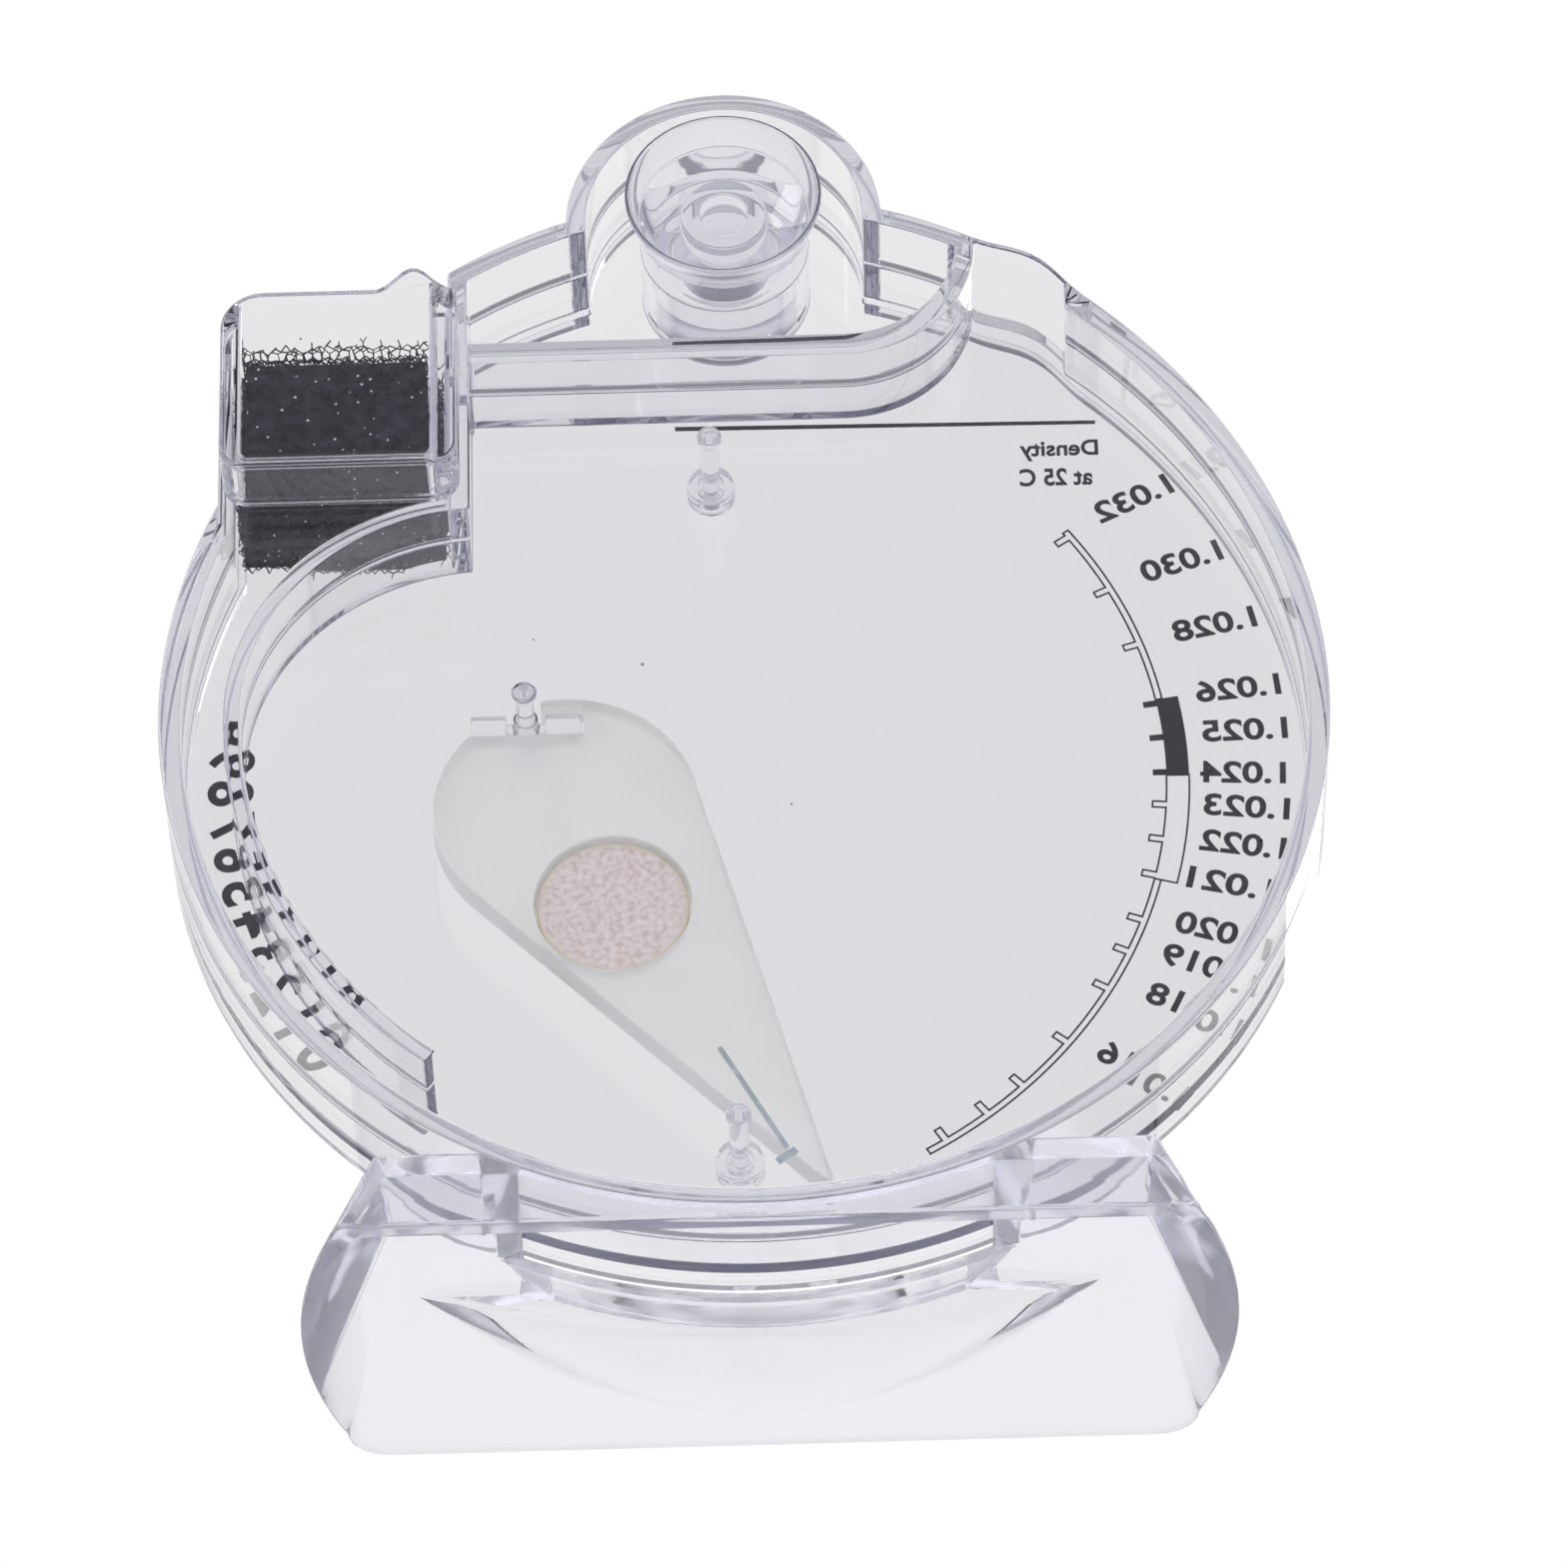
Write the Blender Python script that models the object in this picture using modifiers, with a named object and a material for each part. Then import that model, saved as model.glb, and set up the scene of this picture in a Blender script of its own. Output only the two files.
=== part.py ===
"""Clear swing-arm hydrometer: a flat water chamber with a pivoting float arm, on a hollow foot.

The object stands on its foot. +Z is up, the dial faces -Y, and the flat back faces +Y.
Depths are measured from the outside of the back plate, towards the dial.
Heights on the case are measured from the middle of its round lower half.
"""
import math

import bmesh
import bpy
from mathutils import Matrix, Vector

# Fits and facets
GAP = 0.0003
RUNNING_GAP = 0.0001
OVERRUN = 0.004
ARC_STEP = math.radians(4)
ROUND_SIDES = 32
WELD = 0.00001

# Case
CASE_RADIUS = 0.0662
CASE_LIFT = 0.0020
CROWN_RISE = 0.0056
CROWN_POWER_SHARE = 3.4
CASE_MIDDLE_Z = CASE_RADIUS + CASE_LIFT
PLATE = 0.0020
WALL = 0.0022
CHAMBER_DEPTH = 0.0130
SEAM_DEPTH = 0.0085
LIP_DEPTH = 0.0025
LIP_WALL = 0.0022
CASE_DEPTH = 2 * PLATE + CHAMBER_DEPTH + LIP_DEPTH
DIAL_DEPTH = 2 * PLATE + CHAMBER_DEPTH
FLOOR_DEPTH = PLATE + CHAMBER_DEPTH

# Hanging boss and its recess
BOSS_X = 0.0010
BOSS_RISE = 0.0019
BOSS_Z = CASE_RADIUS + BOSS_RISE
BOSS_RADIUS = 0.0185
BOSS_WALL = 0.0022
RECESS_RADIUS = BOSS_RADIUS - BOSS_WALL
SOCKET_RADIUS = 0.0099
SOCKET_WALL = 0.0015
SOCKET_DEPTH = 0.0048

# Shelf that closes the chamber above, and the spout beside it
SHELF_DROP = 0.0172
SHELF_Z = CASE_RADIUS - SHELF_DROP
SHELF_WALL = 0.0020
SHELF_BEND_REACH = 0.0135
SHELF_BEND_X = BOSS_X - SHELF_BEND_REACH
SHELF_BEND_RADIUS = 0.0155
SPOUT_WIDTH = 0.0106
SPOUT_LIP = 0.0012

# Inlet box with the foam
BOX_INSET = 0.0064
BOX_OUTER_X = CASE_RADIUS - BOX_INSET
BOX_WALL = 0.0014
BOX_WIDTH = 0.0286
DIVIDER_X = BOX_OUTER_X - BOX_WIDTH
DIVIDER_WALL = 0.0022
MOUTH_DROP = 0.0133
MOUTH_Z = CASE_RADIUS - MOUTH_DROP
MOUTH_CORNER = 0.0050
BOX_HEIGHT = 0.0249
BOX_FLOOR_Z = MOUTH_Z - BOX_HEIGHT
BOX_PROUD = 0.0085
HOUSING_STEP = 0.0006
HOUSING_OUTER_X = BOX_OUTER_X - HOUSING_STEP
HOUSING_EDGE_STEP = 0.0008
HOUSING_EDGE_X = DIVIDER_X + HOUSING_EDGE_STEP
HOUSING_WALL = 0.0020
HOUSING_EDGE_WALL = 0.0028
HOUSING_CORNER = 0.0030
EAR_REACH = 0.0050
EAR_X = HOUSING_EDGE_X + EAR_REACH
EAR_HALF_WIDTH = 0.0046
EAR_RISE = 0.0030

# Ring wall that leads the water down to the bottom of the chamber
RING_WALL = 0.0015
CHANNEL_WIDTH = 0.00525
RING_RADIUS = CASE_RADIUS - WALL - CHANNEL_WIDTH - RING_WALL / 2
RING_BEND_RADIUS = 0.0287
RING_BEND_TURN = math.radians(1.0)
RING_END = math.radians(-52)

# Foam
FOAM_DROP = 0.0069
FOAM_TOP_Z = MOUTH_Z - FOAM_DROP
FOAM_BOTTOM_Z = BOX_FLOOR_Z

# Pivot and arm
PIVOT_REACH = 0.0331
PIVOT_X = RING_RADIUS - PIVOT_REACH
PIVOT_Z = 0.0022
AXLE_RADIUS = 0.0010
AXLE_SINK = 0.0008
HUB_RADIUS = 0.0014
LUG_SPAN = 0.0125
LUG_LENGTH = 0.0040
LUG_RADIUS = 0.0016
CROSS_BAR_RADIUS = 0.0006
ARM_THICKNESS = 0.0038
ARM_DEPTH = 0.0073
HEAD_SHIFT = 0.0045
HEAD_DROP = 0.0123
HEAD_X = PIVOT_X - HEAD_SHIFT
HEAD_Z = PIVOT_Z - HEAD_DROP
HEAD_RADIUS = 0.0151
TIP_SHIFT = 0.0328
TIP_CLEARANCE = 0.0048
TIP_X = PIVOT_X - TIP_SHIFT
TIP_Z = WALL + TIP_CLEARANCE - CASE_RADIUS
TIP_RADIUS = 0.0006
WEIGHT_SHIFT = 0.0051
WEIGHT_DROP = 0.0127
WEIGHT_X = HEAD_X - WEIGHT_SHIFT
WEIGHT_Z = HEAD_Z - WEIGHT_DROP
WEIGHT_RADIUS = 0.0086
WEIGHT_THICKNESS = 0.0016
WEIGHT_SUNK = 0.0010

# Stop pins
PIN_RADIUS = 0.0011
SOCKET_PIN_RADIUS = 0.0028
SOCKET_PIN_LENGTH = 0.0027
PIN_HEAD_RADIUS = 0.0014
PIN_HEAD = 0.0010
TOP_PIN_SHIFT = 0.0216
TOP_PIN_DROP = 0.0112
TOP_PIN_X = PIVOT_X - TOP_PIN_SHIFT
TOP_PIN_Z = SHELF_Z - TOP_PIN_DROP
LOW_PIN_REACH = 0.0104
LOW_PIN_CLEARANCE = 0.0015

# Suction cup: radii, and heights above the back plane
CUP_RADIUS = 0.0115
CUP_PROUD = 0.0050
CUP_LIP = 0.0005
CUP_WALL_RADIUS = 0.0099
CUP_WALL_HEIGHT = 0.0010
CUP_RING_RADIUS = 0.0084
CUP_RING_HEIGHT = 0.0003
CUP_NUB_RADIUS = 0.0050
CUP_NUB_DEPTH = 0.0006
CUP_NUB_HEIGHT = 0.0010
CUP_DIMPLE_RADIUS = 0.0028
CUP_BODY_WALL = 0.0014
CUP_NECK_RADIUS = 0.0053
CUP_NECK_DEPTH = 0.0040
CUP_PLUG_DEPTH = 0.0095

# Foot
FOOT_MIDDLE_X = -0.0011
FOOT_HEIGHT = 0.0092
FOOT_DEPTH = 0.0506
FOOT_WALL = 0.0022
FOOT_BACK_HALF = 0.0470
FOOT_FRONT_HALF = 0.0483
FOOT_BULGE = 0.0046
FOOT_CORNER = 0.0050
FOOT_TOP_BACK_HALF = 0.0428
FOOT_TOP_FRONT_HALF = 0.0413
FOOT_TOP_DEPTH = 0.0170
SCOOP_WALL = 0.0014
COVE_DEPTH = 0.0280
COVE_RADIUS = 0.1220
COVE_SINK = 0.0004
COVE_BOTTOM_Z = -(CASE_RADIUS + COVE_SINK)
FOOT_STEPS = 12

BACK_Y = (FOOT_DEPTH - BOX_PROUD) / 2

scene = bpy.context.scene
for old in list(bpy.data.objects):
    bpy.data.objects.remove(old, do_unlink=True)

parts = bpy.data.collections.new("clear_hydrometer")
tools = bpy.data.collections.new("cutters")
scene.collection.children.link(parts)
scene.collection.children.link(tools)


# Materials

def plastic(name, colour, roughness, alpha=1.0, metallic=0.0):
    """A Principled material with the piece's colour, roughness and see-through share."""
    material = bpy.data.materials.new(name)
    material.use_nodes = True
    shader = material.node_tree.nodes["Principled BSDF"]
    shader.inputs["Base Color"].default_value = (*colour, 1.0)
    shader.inputs["Roughness"].default_value = roughness
    shader.inputs["Metallic"].default_value = metallic
    shader.inputs["Alpha"].default_value = alpha
    return material


def clear(name):
    return plastic(name, (0.80, 0.80, 0.84), 0.08, alpha=0.35)


# Outlines on the case: lists of (x, z) from the middle of the round lower half

def rim_radius(angle):
    """Round below, and rising smoothly into a crown above."""
    crown = max(0.0, math.sin(angle)) ** CROWN_POWER_SHARE
    return CASE_RADIUS + CROWN_RISE * crown


def rim_point(angle, inset=0.0):
    radius = rim_radius(angle) - inset
    return (radius * math.cos(angle), radius * math.sin(angle))


def turn_steps(start, end):
    """Angles from start to end, about one arc step apart, both ends included."""
    count = max(2, math.ceil(abs(end - start) / ARC_STEP))
    return [start + (end - start) * i / count for i in range(count + 1)]


def rim(start, end, inset=0.0):
    return [rim_point(angle, inset) for angle in turn_steps(start, end)]


def arc(x, z, radius, start, end):
    return [(x + radius * math.cos(a), z + radius * math.sin(a)) for a in turn_steps(start, end)]


def solve(low, high, measure):
    """The value between low and high where a rising or falling measure crosses zero."""
    rising = measure(high) > measure(low)
    for _ in range(50):
        middle = (low + high) / 2
        if (measure(middle) > 0) == rising:
            high = middle
        else:
            low = middle
    return (low + high) / 2


def rim_angle_at_x(x, inset=0.0):
    """The angle in the upper half where the rim has this x."""
    return solve(0.0, math.pi, lambda a: rim_point(a, inset)[0] - x)


def boss_angle(low, high):
    """The rim angle where the boss circle leaves the rim."""
    return solve(low, high, lambda a: math.dist(rim_point(a), (BOSS_X, BOSS_Z)) - BOSS_RADIUS)


def heading(point, x, z):
    return math.atan2(point[1] - z, point[0] - x)


SHELF_BEND_Z = SHELF_Z + SHELF_BEND_RADIUS
SPOUT_START_X = SHELF_BEND_X - SHELF_BEND_RADIUS
SPOUT_END_X = SPOUT_START_X - SPOUT_WIDTH
BOX_INNER_X = BOX_OUTER_X - BOX_WALL
DIVIDER_BOX_X = DIVIDER_X + DIVIDER_WALL
ABOVE_Z = BOSS_Z + BOSS_RADIUS
RING_BEND_X = (RING_RADIUS - RING_BEND_RADIUS) * math.cos(RING_BEND_TURN)
RING_BEND_Z = (RING_RADIUS - RING_BEND_RADIUS) * math.sin(RING_BEND_TURN)


def spout_lip():
    """The crown over the spout, with the low lip that both plates carry there."""
    start = rim_angle_at_x(SPOUT_START_X)
    end = rim_angle_at_x(SPOUT_END_X - WALL)
    points = []
    for angle in turn_steps(start, end):
        share = (angle - start) / (end - start)
        points.append(rim_point(angle, -SPOUT_LIP * math.sin(math.pi * share) ** 2))
    return points


def case_outline():
    right = boss_angle(math.radians(60), math.radians(89))
    left = boss_angle(math.radians(95), math.radians(120))
    boss_start = heading(rim_point(right), BOSS_X, BOSS_Z)
    boss_end = heading(rim_point(left), BOSS_X, BOSS_Z) % (2 * math.pi)
    points = rim(-math.pi / 2, rim_angle_at_x(BOX_OUTER_X))
    points += arc(BOX_OUTER_X - MOUTH_CORNER, MOUTH_Z - MOUTH_CORNER, MOUTH_CORNER, 0.0, math.pi / 2)
    points += [(DIVIDER_BOX_X, MOUTH_Z)]
    points += rim(rim_angle_at_x(DIVIDER_BOX_X), right)
    points += arc(BOSS_X, BOSS_Z, BOSS_RADIUS, boss_start, boss_end)[1:-1]
    points += rim(left, rim_angle_at_x(SPOUT_START_X))[:-1]
    points += spout_lip()
    points += rim(rim_angle_at_x(SPOUT_END_X - WALL), 1.5 * math.pi)[1:-1]
    return points


def wet_outline():
    """Everything that the water reaches: chamber, spout, channel and inlet box."""
    outer = RING_BEND_RADIUS + RING_WALL / 2
    inner = RING_BEND_RADIUS - RING_WALL / 2
    outer_turn = math.acos((DIVIDER_BOX_X - RING_BEND_X) / outer)
    inner_turn = math.acos((DIVIDER_X - RING_BEND_X) / inner)
    points = [(DIVIDER_X, SHELF_Z)]
    points += arc(SHELF_BEND_X, SHELF_BEND_Z, SHELF_BEND_RADIUS, 1.5 * math.pi, math.pi)
    points += [(SPOUT_START_X, ABOVE_Z), (SPOUT_END_X, ABOVE_Z)]
    points += rim(rim_angle_at_x(SPOUT_END_X, WALL), 2 * math.pi + rim_angle_at_x(BOX_INNER_X, WALL), WALL)
    points += [(BOX_INNER_X, ABOVE_Z), (DIVIDER_BOX_X, ABOVE_Z)]
    points += arc(RING_BEND_X, RING_BEND_Z, outer, outer_turn, RING_BEND_TURN)
    points += arc(0.0, 0.0, RING_RADIUS + RING_WALL / 2, RING_BEND_TURN, RING_END)[1:]
    points += arc(0.0, 0.0, RING_RADIUS - RING_WALL / 2, RING_END, RING_BEND_TURN)
    points += arc(RING_BEND_X, RING_BEND_Z, inner, RING_BEND_TURN, inner_turn)[1:]
    return points


def dry_outline():
    """The open pocket above the shelf: the recess of the boss and the two corners beside it."""
    radius = SHELF_BEND_RADIUS - SHELF_WALL

    def past_rim(turn):
        x, z = arc(SHELF_BEND_X, SHELF_BEND_Z, radius, turn, turn)[0]
        return math.hypot(x, z) - rim_radius(math.atan2(z, x)) + WALL

    bend_end = solve(1.5 * math.pi, math.pi, past_rim)
    bend = arc(SHELF_BEND_X, SHELF_BEND_Z, radius, 1.5 * math.pi, bend_end)
    right_x, left_x = BOSS_X + RECESS_RADIUS, BOSS_X - RECESS_RADIUS
    points = [(DIVIDER_X, SHELF_Z + SHELF_WALL)]
    points += rim(rim_angle_at_x(DIVIDER_X, WALL), rim_angle_at_x(right_x, WALL), WALL)
    points += arc(BOSS_X, BOSS_Z, RECESS_RADIUS, 0.0, math.pi)
    points += rim(rim_angle_at_x(left_x, WALL), rim_angle_at_x(bend[-1][0], WALL), WALL)[:-1]
    points += list(reversed(bend))
    return points


def inset_outline(points, inset):
    """The same closed outline moved inwards, each corner along the middle of its two sides."""
    count = len(points)
    moved = []
    for i, point in enumerate(points):
        before, after = Vector(points[i - 1]), Vector(points[(i + 1) % count])
        here = Vector(point)
        side_in, side_out = (here - before).normalized(), (after - here).normalized()
        normal_in = Vector((-side_in.y, side_in.x))
        normal_out = Vector((-side_out.y, side_out.x))
        middle = (normal_in + normal_out).normalized()
        stretch = max(0.5, middle.dot(normal_in))
        moved.append(tuple(here + middle * inset / stretch))
    return moved


# Makers of solids

def place(data, name, collection, material=None):
    item = bpy.data.objects.new(name, data)
    collection.objects.link(item)
    if material:
        data.materials.append(material)
    if collection is tools:
        item.hide_render = True
        item.display_type = "WIRE"
    return item


def prism(name, loops, depth_from, depth_to, collection=None, material=None):
    """Flat outlines on the case, made solid between two depths from the back plane."""
    curve = bpy.data.curves.new(name, "CURVE")
    curve.dimensions = "2D"
    curve.fill_mode = "BOTH"
    curve.extrude = abs(depth_to - depth_from) / 2
    for loop in loops:
        spline = curve.splines.new("POLY")
        spline.points.add(len(loop) - 1)
        for point, (x, z) in zip(spline.points, loop):
            point.co = (x, z, 0.0, 1.0)
        spline.use_cyclic_u = True
    flat = bpy.data.objects.new(name + "_outline", curve)
    scene.collection.objects.link(flat)
    middle = BACK_Y - (depth_from + depth_to) / 2
    turn = Matrix.Rotation(math.pi / 2, 4, "X")
    flat.matrix_world = Matrix.Translation((0.0, middle, CASE_MIDDLE_Z)) @ turn
    bpy.context.view_layer.update()
    seen = flat.evaluated_get(bpy.context.evaluated_depsgraph_get())
    mesh = bpy.data.meshes.new_from_object(seen)
    mesh.name = name
    body = bmesh.new()
    body.from_mesh(mesh)
    bmesh.ops.remove_doubles(body, verts=body.verts, dist=WELD)
    bmesh.ops.recalc_face_normals(body, faces=body.faces)
    body.to_mesh(mesh)
    body.free()
    item = place(mesh, name, collection or tools, material)
    item.matrix_world = flat.matrix_world
    bpy.data.objects.remove(flat, do_unlink=True)
    return item


def rod(name, x, z, radius, depth_from, depth_to, collection=None, material=None, sides=ROUND_SIDES):
    """A round bar along Y between two depths."""
    mesh = bpy.data.meshes.new(name)
    body = bmesh.new()
    bmesh.ops.create_cone(body, cap_ends=True, segments=sides, radius1=radius, radius2=radius,
                          depth=abs(depth_to - depth_from))
    body.to_mesh(mesh)
    body.free()
    item = place(mesh, name, collection or tools, material)
    item.location = (x, BACK_Y - (depth_from + depth_to) / 2, CASE_MIDDLE_Z + z)
    item.rotation_euler = (math.pi / 2, 0.0, 0.0)
    return item


def block(name, x, depth, z, collection=None, material=None):
    """A box from three (low, high) spans: x, depth from the back plane, and z on the case."""
    mesh = bpy.data.meshes.new(name)
    body = bmesh.new()
    bmesh.ops.create_cube(body, size=1.0)
    spans = (x[1] - x[0], depth[1] - depth[0], z[1] - z[0])
    bmesh.ops.scale(body, verts=body.verts, vec=spans)
    body.to_mesh(mesh)
    body.free()
    item = place(mesh, name, collection or tools, material)
    item.location = (sum(x) / 2, BACK_Y - sum(depth) / 2, CASE_MIDDLE_Z + sum(z) / 2)
    return item


def turned(name, profile, x, z, material):
    """A profile of (radius, height over the back plane), turned about an axis along Y."""
    mesh = bpy.data.meshes.new(name)
    edges = [(i, i + 1) for i in range(len(profile) - 1)]
    mesh.from_pydata([(radius, 0.0, height) for radius, height in profile], edges, [])
    item = place(mesh, name, parts, material)
    item.location = (x, BACK_Y, CASE_MIDDLE_Z + z)
    item.rotation_euler = (-math.pi / 2, 0.0, 0.0)
    screw = item.modifiers.new("turn", "SCREW")
    screw.axis = "Z"
    screw.steps = ROUND_SIDES
    screw.render_steps = ROUND_SIDES
    screw.use_merge_vertices = True
    screw.merge_threshold = WELD
    screw.use_normal_calculate = True
    return item


def boolean(item, other, operation):
    step = item.modifiers.new(other.name, "BOOLEAN")
    step.operation = operation
    step.solver = "EXACT"
    step.object = other
    return item


def cut(item, *others):
    for other in others:
        boolean(item, other, "DIFFERENCE")
    return item


def fuse(item, *others):
    for other in others:
        boolean(item, other, "UNION")
    return item


# The two halves of the case

def case_half(name, depth_from, depth_to, wet, dry):
    """A slice of the case outline, hollowed by the water space and the dry pocket over their depths."""
    half = prism(name, [case_outline()], depth_from, depth_to, parts, clear(name))
    return cut(half, prism(f"{name}_wet", [wet_outline()], *wet), prism(f"{name}_dry", [dry_outline()], *dry))


back_cover = case_half("back_cover", 0.0, SEAM_DEPTH - GAP / 2, (PLATE, SEAM_DEPTH + OVERRUN),
                       (-OVERRUN, SEAM_DEPTH + OVERRUN))
inlet_notch = block("inlet_notch", (HOUSING_EDGE_X + HOUSING_EDGE_WALL, HOUSING_OUTER_X - HOUSING_WALL),
                    (-OVERRUN, PLATE + OVERRUN), (BOX_FLOOR_Z + HOUSING_CORNER, ABOVE_Z))
axle_dimple = rod("axle_dimple", PIVOT_X, PIVOT_Z, AXLE_RADIUS + GAP, PLATE - AXLE_SINK - GAP, PLATE + OVERRUN)
cut(back_cover, inlet_notch, axle_dimple)

front_cover = case_half("front_cover", SEAM_DEPTH + GAP / 2, CASE_DEPTH, (SEAM_DEPTH - OVERRUN, FLOOR_DEPTH),
                        (SEAM_DEPTH - OVERRUN, FLOOR_DEPTH))
dial_pocket = prism("dial_pocket", [inset_outline(case_outline(), LIP_WALL)], DIAL_DEPTH, CASE_DEPTH + OVERRUN)
axle_hole = rod("axle_hole", PIVOT_X, PIVOT_Z, AXLE_RADIUS + GAP, FLOOR_DEPTH - OVERRUN, DIAL_DEPTH + OVERRUN)
socket = rod("socket", BOSS_X, BOSS_Z, SOCKET_RADIUS, SOCKET_DEPTH, FLOOR_DEPTH + PLATE / 2)
socket_bore = rod("socket_bore", BOSS_X, BOSS_Z, SOCKET_RADIUS - SOCKET_WALL, -OVERRUN, FLOOR_DEPTH)
cut(fuse(cut(front_cover, dial_pocket), socket), axle_hole, socket_bore)


# Inlet housing behind the case, and the foam in it

def housing_outline():
    corner = HOUSING_CORNER
    points = arc(HOUSING_OUTER_X - corner, BOX_FLOOR_Z + corner, corner, -math.pi / 2, 0.0)
    points += arc(HOUSING_OUTER_X - MOUTH_CORNER, MOUTH_Z - MOUTH_CORNER, MOUTH_CORNER, 0.0, math.pi / 2)
    for i in range(FOOT_STEPS + 1):
        turn = math.pi * (1 - 2 * i / FOOT_STEPS)
        points.append((EAR_X + EAR_HALF_WIDTH * turn / math.pi, MOUTH_Z + EAR_RISE * (1 + math.cos(turn)) / 2))
    points += [(HOUSING_EDGE_X, MOUTH_Z)]
    points += arc(HOUSING_EDGE_X + corner, BOX_FLOOR_Z + corner, corner, math.pi, 1.5 * math.pi)
    return points


def housing_pocket(top_z, inset=0.0):
    corner = HOUSING_CORNER - HOUSING_WALL
    right_x = HOUSING_OUTER_X - HOUSING_WALL - inset
    left_x = HOUSING_EDGE_X + HOUSING_EDGE_WALL + inset
    floor_z = BOX_FLOOR_Z + HOUSING_WALL + inset
    points = arc(right_x - corner, floor_z + corner, corner, -math.pi / 2, 0.0)
    points += [(right_x, top_z), (left_x, top_z)]
    points += arc(left_x + corner, floor_z + corner, corner, math.pi, 1.5 * math.pi)
    return points


filter_housing = prism("filter_housing", [housing_outline()], -BOX_PROUD, -GAP, parts, clear("filter_housing"))
cut(filter_housing, prism("housing_pocket", [housing_pocket(ABOVE_Z)], HOUSING_WALL - BOX_PROUD, OVERRUN))

foam_colour = plastic("filter_foam", (0.045, 0.045, 0.05), 0.95)
foam_x = (DIVIDER_BOX_X + GAP, BOX_INNER_X - GAP)
foam_z = (FOAM_BOTTOM_Z, FOAM_TOP_Z)
filter_foam = block("filter_foam", foam_x, (PLATE + GAP, FLOOR_DEPTH - GAP), foam_z, parts, foam_colour)
foam_back = prism("foam_back", [housing_pocket(FOAM_TOP_Z, GAP)], HOUSING_WALL - BOX_PROUD + GAP, 2 * PLATE)
foam_step = block("foam_step", (foam_x[0] - OVERRUN, foam_x[1] + OVERRUN), (-GAP, PLATE + GAP),
                  (FOAM_BOTTOM_Z - OVERRUN, BOX_FLOOR_Z + HOUSING_CORNER + GAP))
ring_space = rod("ring_space", RING_BEND_X, RING_BEND_Z, RING_BEND_RADIUS + RING_WALL / 2 + GAP,
                 -OVERRUN, DIAL_DEPTH, sides=4 * ROUND_SIDES)
cut(fuse(filter_foam, foam_back), foam_step, ring_space)


# Swing arm with its weight and its bearing cross; the origin of each lies on the pivot axis

def arm_headings():
    """The heading from the head to the tip, and the turn from it to where the straight sides start."""
    reach = math.dist((HEAD_X, HEAD_Z), (TIP_X, TIP_Z))
    towards = math.atan2(TIP_Z - HEAD_Z, TIP_X - HEAD_X)
    return towards, math.acos((HEAD_RADIUS - TIP_RADIUS) / reach)


def teardrop():
    """The outline round the head circle and the tip circle."""
    towards, side = arm_headings()
    points = arc(HEAD_X, HEAD_Z, HEAD_RADIUS, towards + side, towards - side + 2 * math.pi)
    points += arc(TIP_X, TIP_Z, TIP_RADIUS, towards - side, towards + side)
    return points


def move_origin(item, x, depth, z):
    """Put the object's origin on an axis point without moving its solid."""
    target = Vector((x, BACK_Y - depth, CASE_MIDDLE_Z + z))
    shift = item.matrix_world.inverted() @ target
    item.data.transform(Matrix.Translation(-shift))
    item.matrix_world.translation = target


bpy.context.view_layer.update()
ARM_MIDDLE = ARM_DEPTH + ARM_THICKNESS / 2
ARM_FRONT = ARM_DEPTH + ARM_THICKNESS
WEIGHT_BACK = ARM_DEPTH + WEIGHT_SUNK
HUB_BACK = ARM_DEPTH - GAP
HUB_FRONT = ARM_FRONT + GAP


def bar(name, length, radius, collection=None, material=None):
    """A round bar along X through the pivot, at the middle of the arm's thickness."""
    item = rod(name, PIVOT_X, PIVOT_Z, radius, ARM_MIDDLE - length / 2, ARM_MIDDLE + length / 2, collection, material)
    item.rotation_euler = (0.0, math.pi / 2, 0.0)
    return item


arm_colour = plastic("swing_arm", (0.76, 0.77, 0.74), 0.35, alpha=0.9)
swing_arm = prism("swing_arm", [teardrop()], ARM_DEPTH, ARM_FRONT, parts, arm_colour)
weight_seat = rod("weight_seat", WEIGHT_X, WEIGHT_Z, WEIGHT_RADIUS + GAP, ARM_DEPTH - OVERRUN,
                  WEIGHT_BACK + WEIGHT_THICKNESS + GAP, sides=2 * ROUND_SIDES)
through_arm = (ARM_DEPTH - OVERRUN, ARM_FRONT + OVERRUN)
open_seat = block("open_seat", (PIVOT_X - HUB_RADIUS - GAP, PIVOT_X + LUG_SPAN / 2 + GAP), through_arm,
                  (PIVOT_Z - LUG_RADIUS - GAP, ABOVE_Z))
closed_seat = block("closed_seat", (PIVOT_X - LUG_SPAN / 2 - GAP, PIVOT_X + HUB_RADIUS), through_arm,
                    (PIVOT_Z - LUG_RADIUS - GAP, PIVOT_Z + LUG_RADIUS + GAP))
cut(swing_arm, weight_seat, open_seat, closed_seat)
move_origin(swing_arm, PIVOT_X, ARM_MIDDLE, PIVOT_Z)

weight_colour = plastic("arm_weight", (0.55, 0.49, 0.45), 0.8)
arm_weight = rod("arm_weight", WEIGHT_X, WEIGHT_Z, WEIGHT_RADIUS, WEIGHT_BACK, WEIGHT_BACK + WEIGHT_THICKNESS,
                 parts, weight_colour, 2 * ROUND_SIDES)
bpy.context.view_layer.update()
move_origin(arm_weight, PIVOT_X, ARM_MIDDLE, PIVOT_Z)

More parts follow.
